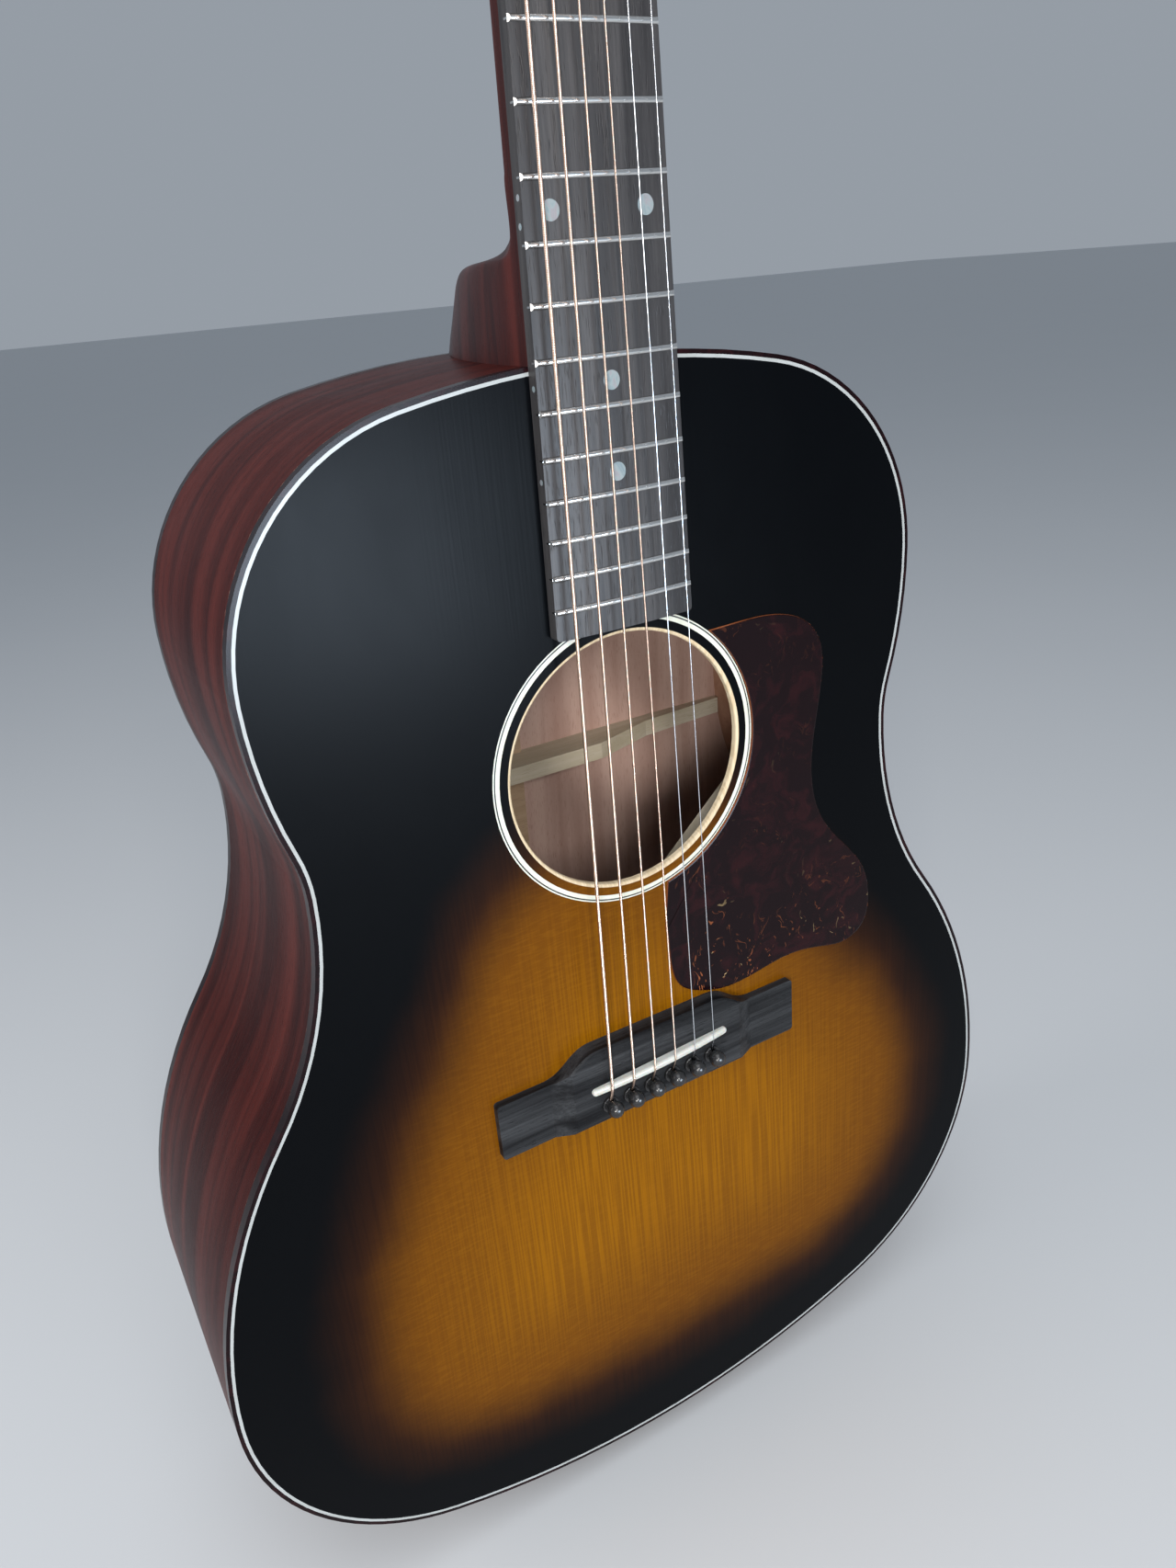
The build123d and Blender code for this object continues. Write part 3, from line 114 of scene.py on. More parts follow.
class Tree:
    """Adds nodes to one node tree and joins them."""

    def __init__(self, tree):
        self.tree = tree

    def put(self, socket, value):
        if isinstance(value, bpy.types.NodeSocket):
            self.tree.links.new(value, socket)
        else:
            socket.default_value = value

    def add(self, kind, values=None, **settings):
        node = self.tree.nodes.new(kind)
        for name, setting in settings.items():
            setattr(node, name, setting)
        for key, value in (values or {}).items():
            self.put(node.inputs[key], value)
        return node

    def maths(self, operation, a, b=0.0, c=0.0, clamp=False):
        node = self.add("ShaderNodeMath", {0: a, 1: b}, operation=operation, use_clamp=clamp)
        if operation == "MULTIPLY_ADD":
            self.put(node.inputs[2], c)
        return node.outputs[0]

    def span(self, value, low, high, to_low=0.0, to_high=1.0, smooth=True):
        """value, taken from low..high to to_low..to_high, held at both ends."""
        node = self.add(
            "ShaderNodeMapRange",
            {0: value, 1: low, 2: high, 3: to_low, 4: to_high},
            interpolation_type="SMOOTHSTEP" if smooth else "LINEAR",
        )
        return node.outputs[0]

    def blend(self, share, a, b):
        """Colour a, with the given share of colour b."""
        node = self.add("ShaderNodeMix", data_type="RGBA")
        self.put(node.inputs[0], share)
        for socket, value in ((node.inputs[6], a), (node.inputs[7], b)):
            self.put(socket, value if isinstance(value, bpy.types.NodeSocket) else rgba(value))
        return node.outputs[2]

    def ramp(self, value, stops):
        node = self.add("ShaderNodeValToRGB", {0: value})
        marks = node.color_ramp.elements
        while len(marks) < len(stops):
            marks.new(0.5)
        for mark, (place, colour) in zip(marks, stops):
            mark.position = place
            mark.color = rgba(colour)
        return node.outputs[0]

    def noise(self, vector, scale, detail=3.0, rough=0.5, warp=0.0, output=0):
        values = {"Vector": vector, "Scale": scale, "Detail": detail}
        values.update({"Roughness": rough, "Distortion": warp})
        return self.add("ShaderNodeTexNoise", values).outputs[output]

    def stretch(self, vector, by, turn=(0.0, 0.0, 0.0), move=(0.0, 0.0, 0.0)):
        return self.add(
            "ShaderNodeMapping", {"Vector": vector, "Location": move, "Rotation": turn, "Scale": by}
        ).outputs[0]

    def join(self, x, y, z):
        return self.add("ShaderNodeCombineXYZ", {0: x, 1: y, 2: z}).outputs[0]

    def vectors(self, operation, a, b):
        return self.add("ShaderNodeVectorMath", {0: a, 1: b}, operation=operation).outputs

    def bump(self, height, strength, depth):
        values = {"Strength": strength, "Distance": depth, "Height": height}
        return self.add("ShaderNodeBump", values).outputs[0]


def rgba(colour):
    return (*colour[:3], 1.0)


class Finish(Tree):
    """One material: its Principled surface, and Object coordinates for its patterns."""

    def __init__(self, name, **surface):
        material = bpy.data.materials.new(name)
        material.use_nodes = True
        super().__init__(material.node_tree)
        self.material = material
        self.surface = next(n for n in self.tree.nodes if n.type == "BSDF_PRINCIPLED")
        self.feed(**surface)
        place = self.add("ShaderNodeTexCoord")
        self.coords = place.outputs["Object"]
        self.facing = place.outputs["Normal"]

    def split(self, vector=None):
        """X, Y and Z of a vector, or of the Object coordinates."""
        node = self.add("ShaderNodeSeparateXYZ", {0: vector or self.coords})
        return node.outputs[0], node.outputs[1], node.outputs[2]

    def feed(self, **values):
        """Sets or links the surface's own sockets and returns the material."""
        for key, value in values.items():
            self.put(self.surface.inputs[key.replace("_", " ")], value)
        return self.material


# ------------------------------------------------------------------ shared effects


def new_group(name, inputs, outputs):
    """Shader group with named inputs and outputs, and the Tree that fills it."""
    group = bpy.data.node_groups.new(name, "ShaderNodeTree")
    for label, kind, default in inputs:
        socket = group.interface.new_socket(name=label, in_out="INPUT", socket_type=kind)
        if default is not None:
            socket.default_value = default
    for label, kind in outputs:
        group.interface.new_socket(name=label, in_out="OUTPUT", socket_type=kind)
    tree = Tree(group)
    start = tree.add("NodeGroupInput")
    end = tree.add("NodeGroupOutput")
    return tree, start.outputs, end.inputs


def make_long_grain():
    """Wood figure running along its vector's Z: wide ribbons, growth lines and open pores."""
    floats = "NodeSocketFloat"
    tree, given, out = new_group(
        "Long Grain",
        [
            ("Vector", "NodeSocketVector", None),
            ("Ribbon Width", floats, 0.02),
            ("Line Spacing", floats, 0.0015),
            ("Pore Width", floats, 0.0003),
            ("Wander", floats, 0.3),
        ],
        [("Ribbon", floats), ("Line", floats), ("Pore", floats), ("Height", floats)],
    )
    vector = given["Vector"]
    drift = tree.noise(tree.stretch(vector, (1, 1, 0.35)), 9.0, 2.0, output=1)
    drift = tree.vectors("SUBTRACT", drift, (0.5, 0.5, 0.5))[0]
    sway = tree.add("ShaderNodeVectorMath", {0: drift}, operation="SCALE")
    tree.put(sway.inputs["Scale"], tree.maths("MULTIPLY", given["Wander"], 0.03))
    moved = tree.vectors("ADD", vector, sway.outputs[0])[0]

    def figure(width, squeeze, *noise):
        across = tree.maths("DIVIDE", 1.0, given[width])
        return tree.noise(tree.stretch(moved, (1, 1, squeeze)), across, *noise)

    ribbon = figure("Ribbon Width", 0.05, 3.0, 0.6, 0.3)
    line = figure("Line Spacing", 0.02, 2.0, 0.7)
    fleck = figure("Pore Width", 0.07, 1.0, 0.5)
    pore = tree.span(fleck, 0.60, 0.72)
    tree.put(out["Ribbon"], tree.span(ribbon, 0.3, 0.7))
    tree.put(out["Line"], tree.span(line, 0.3, 0.7))
    tree.put(out["Pore"], pore)
    lines = tree.maths("MULTIPLY", line, 0.4)
    tree.put(out["Height"], tree.maths("SUBTRACT", lines, pore))
    return tree.tree


def make_handling():
    """Faint smears, dust and hairlines that a handled, wiped surface has."""
    floats = "NodeSocketFloat"
    tree, given, out = new_group(
        "Handling",
        [("Vector", "NodeSocketVector", None), ("Base", floats, 0.3), ("Amount", floats, 0.1)],
        [("Roughness", floats), ("Height", floats), ("Dust", floats)],
    )
    vector = given["Vector"]
    smear = tree.noise(tree.stretch(vector, (1.0, 1.0, 0.6)), 22.0, 4.0, 0.6, 0.8)
    swing = tree.maths("SUBTRACT", smear, 0.5)
    rough = tree.maths("MULTIPLY_ADD", swing, given["Amount"], given["Base"], clamp=True)
    tree.put(out["Roughness"], rough)
    fine = tree.noise(vector, 900.0, 2.0, 0.5)
    tree.put(out["Height"], tree.maths("MULTIPLY_ADD", fine, 0.3, smear))
    specks = tree.noise(vector, 2600.0, 1.0, 0.5)
    tree.put(out["Dust"], tree.span(specks, 0.72, 0.80))
    return tree.tree


MAKERS = {"Long Grain": make_long_grain, "Handling": make_handling}
GROUPS = {}


def effect(finish, name, **values):
    """Places the named shared effect in a finish and returns its outputs."""
    if name not in GROUPS:
        GROUPS[name] = MAKERS[name]()
    node = finish.add("ShaderNodeGroup", node_tree=GROUPS[name])
    for key, value in values.items():
        finish.put(node.inputs[key.replace("_", " ")], value)
    return node.outputs


# ------------------------------------------------------------------ woods and lacquers


def burst_distance(finish):
    """Metres outside (+) or inside (-) the sunburst's soft edge."""
    x, _, z = finish.split()
    across = finish.maths("SUBTRACT", x, BURST_MIDDLE[0] * MM)
    up = finish.maths("SUBTRACT", z, SCALE_END + BURST_MIDDLE[1] * MM)
    squares = finish.maths("MULTIPLY_ADD", up, up, finish.maths("MULTIPLY", across, across))
    angle = finish.maths("ARCTAN2", up, across)
    share = finish.maths("MULTIPLY_ADD", angle, 0.5 / math.pi, 0.5)
    reach = finish.add("ShaderNodeFloatCurve", {"Value": share})
    curve = reach.mapping.curves[0]
    marks = []
    for u, v in BURST_EDGE:
        du, dv = u - BURST_MIDDLE[0], v - BURST_MIDDLE[1]
        turn = math.atan2(dv, du) / (2 * math.pi) + 0.5
        marks.append((turn, math.hypot(du, dv) / BURST_REACH))
    marks = sorted(m for m in marks if 0.01 < m[0] < 0.99)
    ends = (marks[0][1] + marks[-1][1]) / 2
    curve.points[0].location = (0.0, ends)
    curve.points[-1].location = (1.0, ends)
    for place, size in marks:
        curve.points.new(place, size)
    reach.mapping.update()
    edge = finish.maths("MULTIPLY", reach.outputs[0], BURST_REACH * MM)
    return finish.maths("SUBTRACT", finish.maths("SQRT", squares), edge)


def sunburst_finish(top):
    """Lacquered spruce, black at the rim and amber in the middle; bare where it is cut or inside."""
    finish = Finish("Sunburst Spruce", IOR=1.45, Specular_IOR_Level=top.lacquer_shine)
    x, _, z = finish.split()
    sway = finish.noise(finish.stretch(finish.coords, (1, 1, 0.4)), 5.0, 1.0)
    drifted = finish.maths("MULTIPLY_ADD", sway, 0.012, x)
    width = top.grain_spacing
    flat = finish.join(drifted, 0.0, finish.maths("MULTIPLY", z, 0.012))
    growth = finish.noise(flat, 1.2 / width, 1.0, 0.4)
    fine = finish.noise(flat, 3.7 / width, 1.0, 0.5)
    line = finish.span(growth, 0.42, 0.58)
    silk_at = finish.join(finish.maths("MULTIPLY", x, 0.12), 0.0, z)
    silk = finish.span(finish.noise(silk_at, 900.0, 2.0, 0.6, 0.1), 0.42, 0.66)
    cloud = finish.noise(finish.coords, 14.0, 3.0, 0.6)
    out = burst_distance(finish)
    out = finish.maths("MULTIPLY_ADD", finish.maths("SUBTRACT", cloud, 0.5), 0.016, out)
    amber = finish.blend(finish.span(out, -0.11, -0.02), top.amber, top.amber_deep)
    amber = finish.blend(finish.maths("MULTIPLY", line, 0.50), amber, top.grain_line)
    fine = finish.maths("MULTIPLY", finish.span(fine, 0.4, 0.7), 0.22)
    amber = finish.blend(fine, amber, top.grain_line)
    amber = finish.blend(finish.maths("MULTIPLY", silk, 0.14), amber, top.amber_light)
    brown = finish.blend(finish.maths("MULTIPLY", line, 0.35), top.burst_brown, (0.012, 0.004, 0.002))
    half = top.burst_softness / 2
    lacquer = finish.blend(finish.span(out, -half * 1.5, half * 0.15), amber, brown)
    lacquer = finish.blend(finish.span(out, -half * 0.45, half), lacquer, top.black)
    bare = finish.blend(finish.maths("MULTIPLY", line, 0.5), (0.72, 0.60, 0.42), (0.55, 0.42, 0.25))
    _, facing, _ = finish.split(finish.facing)
    from_hole = finish.vectors("DISTANCE", finish.coords, SOUNDHOLE)["Value"]
    near_hole = finish.span(from_hole, HOLE_RADIUS, HOLE_RADIUS + 0.0003, 1.0, 0.0)
    not_face = finish.span(facing, -0.6, -0.2)
    is_bare = finish.maths("MAXIMUM", not_face, near_hole)
    colour = finish.blend(is_bare, lacquer, bare)
    marks = effect(finish, "Handling", Vector=finish.coords, Base=top.lacquer_roughness, Amount=0.10)
    rough = finish.maths("MAXIMUM", marks["Roughness"], finish.maths("MULTIPLY", is_bare, 0.62))
    relief = finish.maths("MULTIPLY_ADD", growth, 0.6, finish.maths("MULTIPLY", marks["Height"], 0.10))
    shade = finish.bump(relief, 0.22, 0.00012)
    return finish.feed(Base_Color=colour, Roughness=rough, Normal=shade)


def long_figure(finish, wood):
    """Ribbons, lines, pores and relief running up the neck."""
    grain = effect(
        finish, "Long Grain", Vector=finish.coords, Ribbon_Width=wood.ribbon_width,
        Line_Spacing=0.0013, Pore_Width=0.00036, Wander=0.5,
    )
    return tuple(grain[k] for k in ("Ribbon", "Line", "Pore", "Height"))


def rim_figure(finish, wood):
    """The same figure bent round the body, with its ribbons side by side over the depth."""
    wide = finish.stretch(finish.coords, (0.055, 1.0, 0.055), move=(0.0, 0.3, 0.0))
    fine = finish.stretch(finish.coords, (0.09, 1.0, 0.09))
    short = finish.stretch(finish.coords, (0.1, 1.0, 0.1))
    ribbon = finish.span(finish.noise(wide, 1.0 / wood.ribbon_width, 3.0, 0.55, 0.25), 0.34, 0.66)
    line = finish.span(finish.noise(fine, 900.0, 2.0, 0.6), 0.3, 0.7)
    pore = finish.span(finish.noise(short, 2600.0, 1.0), 0.58, 0.70)
    height = finish.maths("SUBTRACT", finish.maths("MULTIPLY", line, 0.3), pore)
    return ribbon, line, pore, height


def inside_rim(finish):
    """1 on the faces of the sides that look towards the middle of the body."""
    x, _, z = finish.split()
    facing_x, _, facing_z = finish.split(finish.facing)
    rise = finish.maths("SUBTRACT", z, RIM_MIDDLE)
    out = finish.maths("MULTIPLY_ADD", facing_z, rise, finish.maths("MULTIPLY", facing_x, x))
    return finish.span(out, -0.002, 0.002, 1.0, 0.0)


def inside_back(finish):
    """1 on the back's inner face."""
    _, facing, _ = finish.split(finish.facing)
    return finish.span(facing, 0.1, 0.3, 1.0, 0.0)


def mahogany_finish(name, wood, shine, figure=long_figure, inside=None):
    """Open-pored ribbon mahogany under a satin coat, left bare where inside says so."""
    finish = Finish(name, IOR=1.45, Specular_IOR_Level=shine)
    ribbon, line, pore, height = figure(finish, wood)
    colour = finish.blend(ribbon, wood.mahogany_dark, wood.mahogany_light)
    colour = finish.blend(finish.maths("MULTIPLY", line, 0.35), colour, wood.mahogany_red)
    colour = finish.blend(finish.maths("MULTIPLY", pore, 0.6), colour, (0.012, 0.004, 0.004))
    marks = effect(finish, "Handling", Vector=finish.coords, Base=0.36, Amount=0.14)
    rough = marks["Roughness"]
    if inside:
        inner = inside(finish)
        raw = finish.blend(ribbon, (0.38, 0.24, 0.195), (0.52, 0.36, 0.30))
        raw = finish.blend(finish.maths("MULTIPLY", pore, 0.45), raw, (0.26, 0.13, 0.10))
        colour = finish.blend(inner, colour, raw)
        rough = finish.maths("MAXIMUM", rough, finish.maths("MULTIPLY", inner, 0.7))
    relief = finish.maths("MULTIPLY_ADD", marks["Height"], 0.2, height)
    shade = finish.bump(relief, 0.35, 0.00012)
    return finish.feed(Base_Color=colour, Roughness=rough, Normal=shade)


def along_neck(finish):
    """Grain runs up the neck."""
    return finish.coords


def along_x(finish):
    """Grain runs across the guitar."""
    x, y, z = finish.split()
    return finish.join(z, y, x)


def plain_wood(
    name, light, dark, pore_tone, rough, shine, along, lines=0.0012, pores=0.0004, depth=0.3
):
    """Unfigured wood: two tones, fine growth lines and pores."""
    finish = Finish(name, IOR=1.45, Specular_IOR_Level=shine)
    grain = effect(
        finish, "Long Grain", Vector=along(finish), Ribbon_Width=0.009,
        Line_Spacing=lines, Pore_Width=pores, Wander=0.25,
    )
    colour = finish.blend(grain["Ribbon"], dark, light)
    colour = finish.blend(finish.maths("MULTIPLY", grain["Line"], 0.45), colour, dark)
    colour = finish.blend(finish.maths("MULTIPLY", grain["Pore"], 0.6), colour, pore_tone)
    marks = effect(finish, "Handling", Vector=finish.coords, Base=rough, Amount=0.12)
    relief = finish.maths("MULTIPLY_ADD", marks["Height"], 0.2, grain["Height"])
    return finish.feed(
        Base_Color=colour, Roughness=marks["Roughness"], Normal=finish.bump(relief, depth, 0.00015)
    )


def lacquered_overlay():
    """Black satin lacquer over the headstock's face, with the veneer's grain faint under it."""
    finish = Finish("Black Headstock Lacquer", IOR=1.5, Specular_IOR_Level=0.4)
    grain = effect(finish, "Long Grain", Vector=finish.coords, Ribbon_Width=0.01, Wander=0.3)
    colour = finish.blend(grain["Line"], (0.006, 0.006, 0.008), (0.010, 0.010, 0.012))
    marks = effect(finish, "Handling", Vector=finish.coords, Base=0.26, Amount=0.1)
    colour = finish.blend(finish.maths("MULTIPLY", marks["Dust"], 0.15), colour, (0.2, 0.2, 0.22))
    relief = finish.maths("MULTIPLY_ADD", grain["Height"], 0.3, marks["Height"])
    return finish.feed(
        Base_Color=colour, Roughness=marks["Roughness"], Normal=finish.bump(relief, 0.15, 0.0001)
    )


# ------------------------------------------------------------------ plastics, bone and pearl


def moulded(name, colour, second, rough, shine=0.5, cloud=60.0, share=0.5, soft=0.0):
    """Plastic or bone with clouded tone, hairlines and a little dust."""
    finish = Finish(
        name, IOR=1.5, Specular_IOR_Level=shine, Subsurface_Weight=soft, Subsurface_Scale=0.002
    )
    mist = finish.span(finish.noise(finish.coords, cloud, 4.0, 0.6, 0.6), 0.35, 0.7)
    tone = finish.blend(finish.maths("MULTIPLY", mist, share), colour, second)
    marks = effect(finish, "Handling", Vector=finish.coords, Base=rough, Amount=0.14)
    tone = finish.blend(finish.maths("MULTIPLY", marks["Dust"], 0.12), tone, second)
    return finish.feed(
        Base_Color=tone, Roughness=marks["Roughness"], Normal=finish.bump(marks["Height"], 0.12, 0.0001)
    )


def tortoise(name, guard, flecks=1.0, scale=1.0):
    """Dark mottled celluloid, redder and more flecked towards its lower end."""
    finish = Finish(name, IOR=1.5, Specular_IOR_Level=0.12)
    x, _, z = finish.split()
    bent = finish.noise(finish.coords, 24.0 * scale, 3.0, 0.6, output=1)
    warped = finish.vectors("MULTIPLY", bent, (0.06, 0.06, 0.06))[0]
    path = finish.vectors("ADD", finish.coords, warped)[0]
    mottle = finish.span(finish.noise(path, 60.0 * scale, 4.0, 0.6, 0.8), 0.45, 0.70)
    base = finish.blend(mottle, guard.dark, guard.maroon)
    low = finish.span(z, 0.225, 0.32, 1.0, 0.12)
    low = finish.maths("MULTIPLY", low, finish.span(x, 0.035, 0.085, 1.0, 0.25))
    patch = finish.span(finish.noise(finish.coords, 26.0 * scale, 2.0), 0.40, 0.58)
    level = finish.maths("MULTIPLY", finish.maths("MULTIPLY", low, patch), flecks)
    corner = finish.span(finish.maths("ADD", x, z), 0.150, 0.185, 1.0, 0.0)
    level = finish.maths("MAXIMUM", level, finish.maths("MULTIPLY", corner, flecks))
    slanted = finish.stretch(path, (2.6, 1.0, 0.9), turn=(0, 0.5, 0))
    streaks = finish.noise(slanted, 140.0 * scale, 2.0, 0.5, 1.4)
    orange = finish.maths("MULTIPLY", finish.span(streaks, 0.65, 0.665), level)
    base = finish.blend(orange, base, guard.orange)
    leaning = finish.stretch(path, (1.3, 1.0, 0.8), turn=(0, 1.1, 0))
    specks = finish.noise(leaning, 90.0 * scale, 2.0, 0.5, 1.2)
    cream = finish.maths("MULTIPLY", finish.span(specks, 0.70, 0.71), level)
    base = finish.blend(cream, base, guard.cream)
    _, facing, _ = finish.split(finish.facing)
    edge = finish.span(finish.maths("ABSOLUTE", facing), 0.80, 0.97, 0.55, 0.0)
    base = finish.blend(finish.maths("MULTIPLY", edge, flecks), base, guard.orange)
    marks = effect(finish, "Handling", Vector=finish.coords, Base=0.24, Amount=0.1)
    return finish.feed(
        Base_Color=base, Roughness=marks["Roughness"], Normal=finish.bump(marks["Height"], 0.1, 0.0001)
    )


def pearl_finish(board):
    """Mother of pearl: bluish white with soft rolling bands."""
    finish = Finish("Pearl", IOR=1.53)
    roll = finish.noise(finish.stretch(finish.coords, (1, 1, 0.5)), 260.0, 3.0, 0.55, 1.2)
    pink, green = (0.29, 0.28, 0.31), (0.20, 0.30, 0.30)
    tone = finish.ramp(
        finish.span(roll, 0.3, 0.7, smooth=False),
        [(0.0, board.pearl_blue), (0.45, board.pearl), (0.75, pink), (1.0, green)],
    )
    marks = effect(finish, "Handling", Vector=finish.coords, Base=0.2, Amount=0.1)
    return finish.feed(
        Base_Color=tone, Roughness=marks["Roughness"], Normal=finish.bump(roll, 0.1, 0.0001)
    )


# ------------------------------------------------------------------ metals


def metal(name, colour, tarnish, rough, stretch=(1, 1, 1), lines=700.0, depth=0.12):
    """Polished or drawn metal with faint lines, smears and tarnish in patches."""
    finish = Finish(name, Metallic=1.0)
    drawn = finish.noise(finish.stretch(finish.coords, stretch), lines, 3.0, 0.6)
    age = finish.span(finish.noise(finish.coords, 90.0, 4.0, 0.6, 0.5), 0.45, 0.75)
    tone = finish.blend(finish.maths("MULTIPLY", age, 0.5), colour, tarnish)
    marks = effect(finish, "Handling", Vector=finish.coords, Base=rough, Amount=0.18)
    gloss = finish.maths("MULTIPLY_ADD", age, 0.08, marks["Roughness"])
    relief = finish.maths("MULTIPLY_ADD", drawn, 0.5, marks["Height"])
    return finish.feed(Base_Color=tone, Roughness=gloss, Normal=finish.bump(relief, depth, 0.00005))


def wound_wire(strings):
    """Bronze wrap wire, with painted shade darkening it between its turns."""
    finish = Finish("Wound Bronze", Metallic=1.0)
    _, _, z = finish.split()
    turn = finish.maths("SINE", finish.maths("MULTIPLY", z, 2 * math.pi / strings.wrap_pitch))
    # Painted shade: the dark bronze tone fills the grooves between turns and the fresh bronze sits on
    # the crests.
    crest = finish.span(turn, -0.9, 0.4)
    tone = finish.blend(crest, (0.42, 0.26, 0.19), strings.bronze)
    age = finish.span(finish.noise(finish.coords, 70.0, 3.0), 0.4, 0.7)
    tone = finish.blend(finish.maths("MULTIPLY", age, 0.4), tone, strings.bronze_aged)
    marks = effect(finish, "Handling", Vector=finish.coords, Base=0.28, Amount=0.12)
    return finish.feed(
        Base_Color=tone, Roughness=marks["Roughness"], Normal=finish.bump(turn, 0.5, 0.00006)
    )


# ------------------------------------------------------------------ pieces


def dress(nodes, material):
    """Gives CAD nodes a finish in place of the plain one they came with."""
    for name in nodes:
        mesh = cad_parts[name].data
        mesh.materials.clear()
        mesh.materials.append(material)


def new_piece(name, mesh, body, slot, *replaced):
    """Adds a finished mesh to the scene, riding on a body."""
    obj = bpy.data.objects.new(name, mesh)
    bpy.context.scene.collection.objects.link(obj)
    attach(obj, body)
    if replaced:
        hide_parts(*replaced)
    return obj


def merged_copy(node):
    """bmesh of a CAD node with its doubles merged and its flat faces joined."""
    bm = bmesh.new()
    bm.from_mesh(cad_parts[node].data)
    bmesh.ops.remove_doubles(bm, verts=bm.verts, dist=1e-6)
    bmesh.ops.dissolve_limit(
        bm, angle_limit=math.radians(1.0), verts=bm.verts, edges=bm.edges, delimit={"NORMAL"}
    )
    return bm


class Scratch:
    """Geometry Nodes tree in the making, run once on a starting mesh."""

    def __init__(self, name, inputs):
        group = bpy.data.node_groups.new(name, "GeometryNodeTree")
        group.interface.new_socket(name="Geometry", in_out="INPUT", socket_type="NodeSocketGeometry")
        for label, kind, default in inputs:
            socket = group.interface.new_socket(name=label, in_out="INPUT", socket_type=kind)
            socket.default_value = default
        group.interface.new_socket(name="Geometry", in_out="OUTPUT", socket_type="NodeSocketGeometry")
        self.group = group
        self.tree = Tree(group)
        self.given = self.tree.add("NodeGroupInput").outputs
        self.result = self.tree.add("NodeGroupOutput").inputs[0]

    def close(self, geometry, material):
        """Ends the tree in Realize Instances and Set Material."""
        real = self.tree.add("GeometryNodeRealizeInstances", {0: geometry}).outputs[0]
        node = self.tree.add("GeometryNodeSetMaterial", {0: real})
        node.inputs["Material"].default_value = material
        self.tree.put(self.result, node.outputs[0])

    def run(self, start, name, **values):
        """The plain mesh that the tree makes from start with these input values."""
        holder = bpy.data.objects.new(name + "_start", start)
        bpy.context.scene.collection.objects.link(holder)
        modifier = holder.modifiers.new("Build", "NODES")
        modifier.node_group = self.group
        wanted = {key.replace("_", " "): value for key, value in values.items()}
        for item in self.group.interface.items_tree:
            if item.in_out == "INPUT" and item.name in wanted:
                modifier[item.identifier] = wanted[item.name]
        graph = bpy.context.evaluated_depsgraph_get()
        mesh = bpy.data.meshes.new_from_object(holder.evaluated_get(graph))
        mesh.name = name
        holder.modifiers.remove(modifier)
        bpy.data.objects.remove(holder)
        return mesh


def line_mesh(name, points):
    """Mesh of one open chain of edges."""
    mesh = bpy.data.meshes.new(name)
    mesh.from_pydata([tuple(p) for p in points], [(i, i + 1) for i in range(len(points) - 1)], [])
    return mesh


def winding_tree(material):
    """Ridged tube along a line: one ridge for each turn of wrap wire."""
    floats = "NodeSocketFloat"
    made = Scratch(
        "String Winding",
        [
            ("Core Radius", floats, 0.0005),
            ("Turn Pitch", floats, 0.0004),
            ("Ridge", floats, 0.00005),
            ("Sides", "NodeSocketInt", 10),
        ],
    )
    tree, given = made.tree, made.given
    curve = tree.add("GeometryNodeMeshToCurve", {0: given["Geometry"]}).outputs[0]
    half = tree.maths("MULTIPLY", given["Turn Pitch"], 0.5)
    fine = tree.add("GeometryNodeResampleCurve", {"Curve": curve}, mode="LENGTH")
    tree.put(fine.inputs["Length"], half)
    index = tree.add("GeometryNodeInputIndex").outputs[0]
    crest = tree.maths("MODULO", index, 2.0)
    radius = tree.maths("MULTIPLY_ADD", crest, given["Ridge"], given["Core Radius"])
    sized = tree.add("GeometryNodeSetCurveRadius", {"Curve": fine.outputs[0], "Radius": radius})
    circle = {"Resolution": given["Sides"], "Radius": 1.0}
    ring = tree.add("GeometryNodeCurvePrimitiveCircle", circle, mode="RADIUS")
    sweep = {"Curve": sized.outputs[0], "Profile Curve": ring.outputs[0], "Fill Caps": True}
    tube = tree.add("GeometryNodeCurveToMesh", sweep)
    read = tree.add("GeometryNodeInputNamedAttribute", {"Name": "radius"}, data_type="FLOAT")
    tree.put(tube.inputs["Scale"], read.outputs[0])
    smooth = tree.add("GeometryNodeSetShadeSmooth", {0: tube.outputs[0]})
    made.close(smooth.outputs[0], material)
    return made


# ------------------------------------------------------------------ settings


def colour_setting(name, about, default):
    return FloatVectorProperty(
        name=name, description=about, subtype="COLOR", size=3, min=0.0, max=1.0, default=default
    )


def length_setting(name, about, default):
    return FloatProperty(
        name=name, description=about, default=default, min=0.00001, max=1.0, precision=5,
        subtype="DISTANCE", unit="LENGTH",
    )


def share_setting(name, about, default):
    return FloatProperty(name=name, description=about, default=default, min=0.0, max=1.0)


class TopSettings(bpy.types.PropertyGroup):
    """Lacquered soundboard."""

    amber: colour_setting("Amber", "Lacquer in the middle of the burst", (0.255, 0.098, 0.0010))
    amber_light: colour_setting("Light amber", "Silk that catches the light", (0.290, 0.120, 0.0060))
    amber_deep: colour_setting("Deep amber", "Where the burst starts to darken", (0.135, 0.046, 0.0020))
    grain_line: colour_setting("Grain line", "Darker half of each growth ring", (0.120, 0.040, 0.0020))
    burst_brown: colour_setting("Burst brown", "Band between amber and black", (0.026, 0.0085, 0.0030))
    black: colour_setting("Black", "Lacquer at the rim", (0.0010, 0.0014, 0.0022))
    burst_softness: length_setting("Burst softness", "Width of the fade from amber to black", 0.046)
    grain_spacing: length_setting("Grain spacing", "Distance between growth lines", 0.0012)
    lacquer_shine: share_setting("Lacquer shine", "Mirror strength", 0.06)
    lacquer_roughness: share_setting("Lacquer roughness", "0 is a mirror", 0.30)


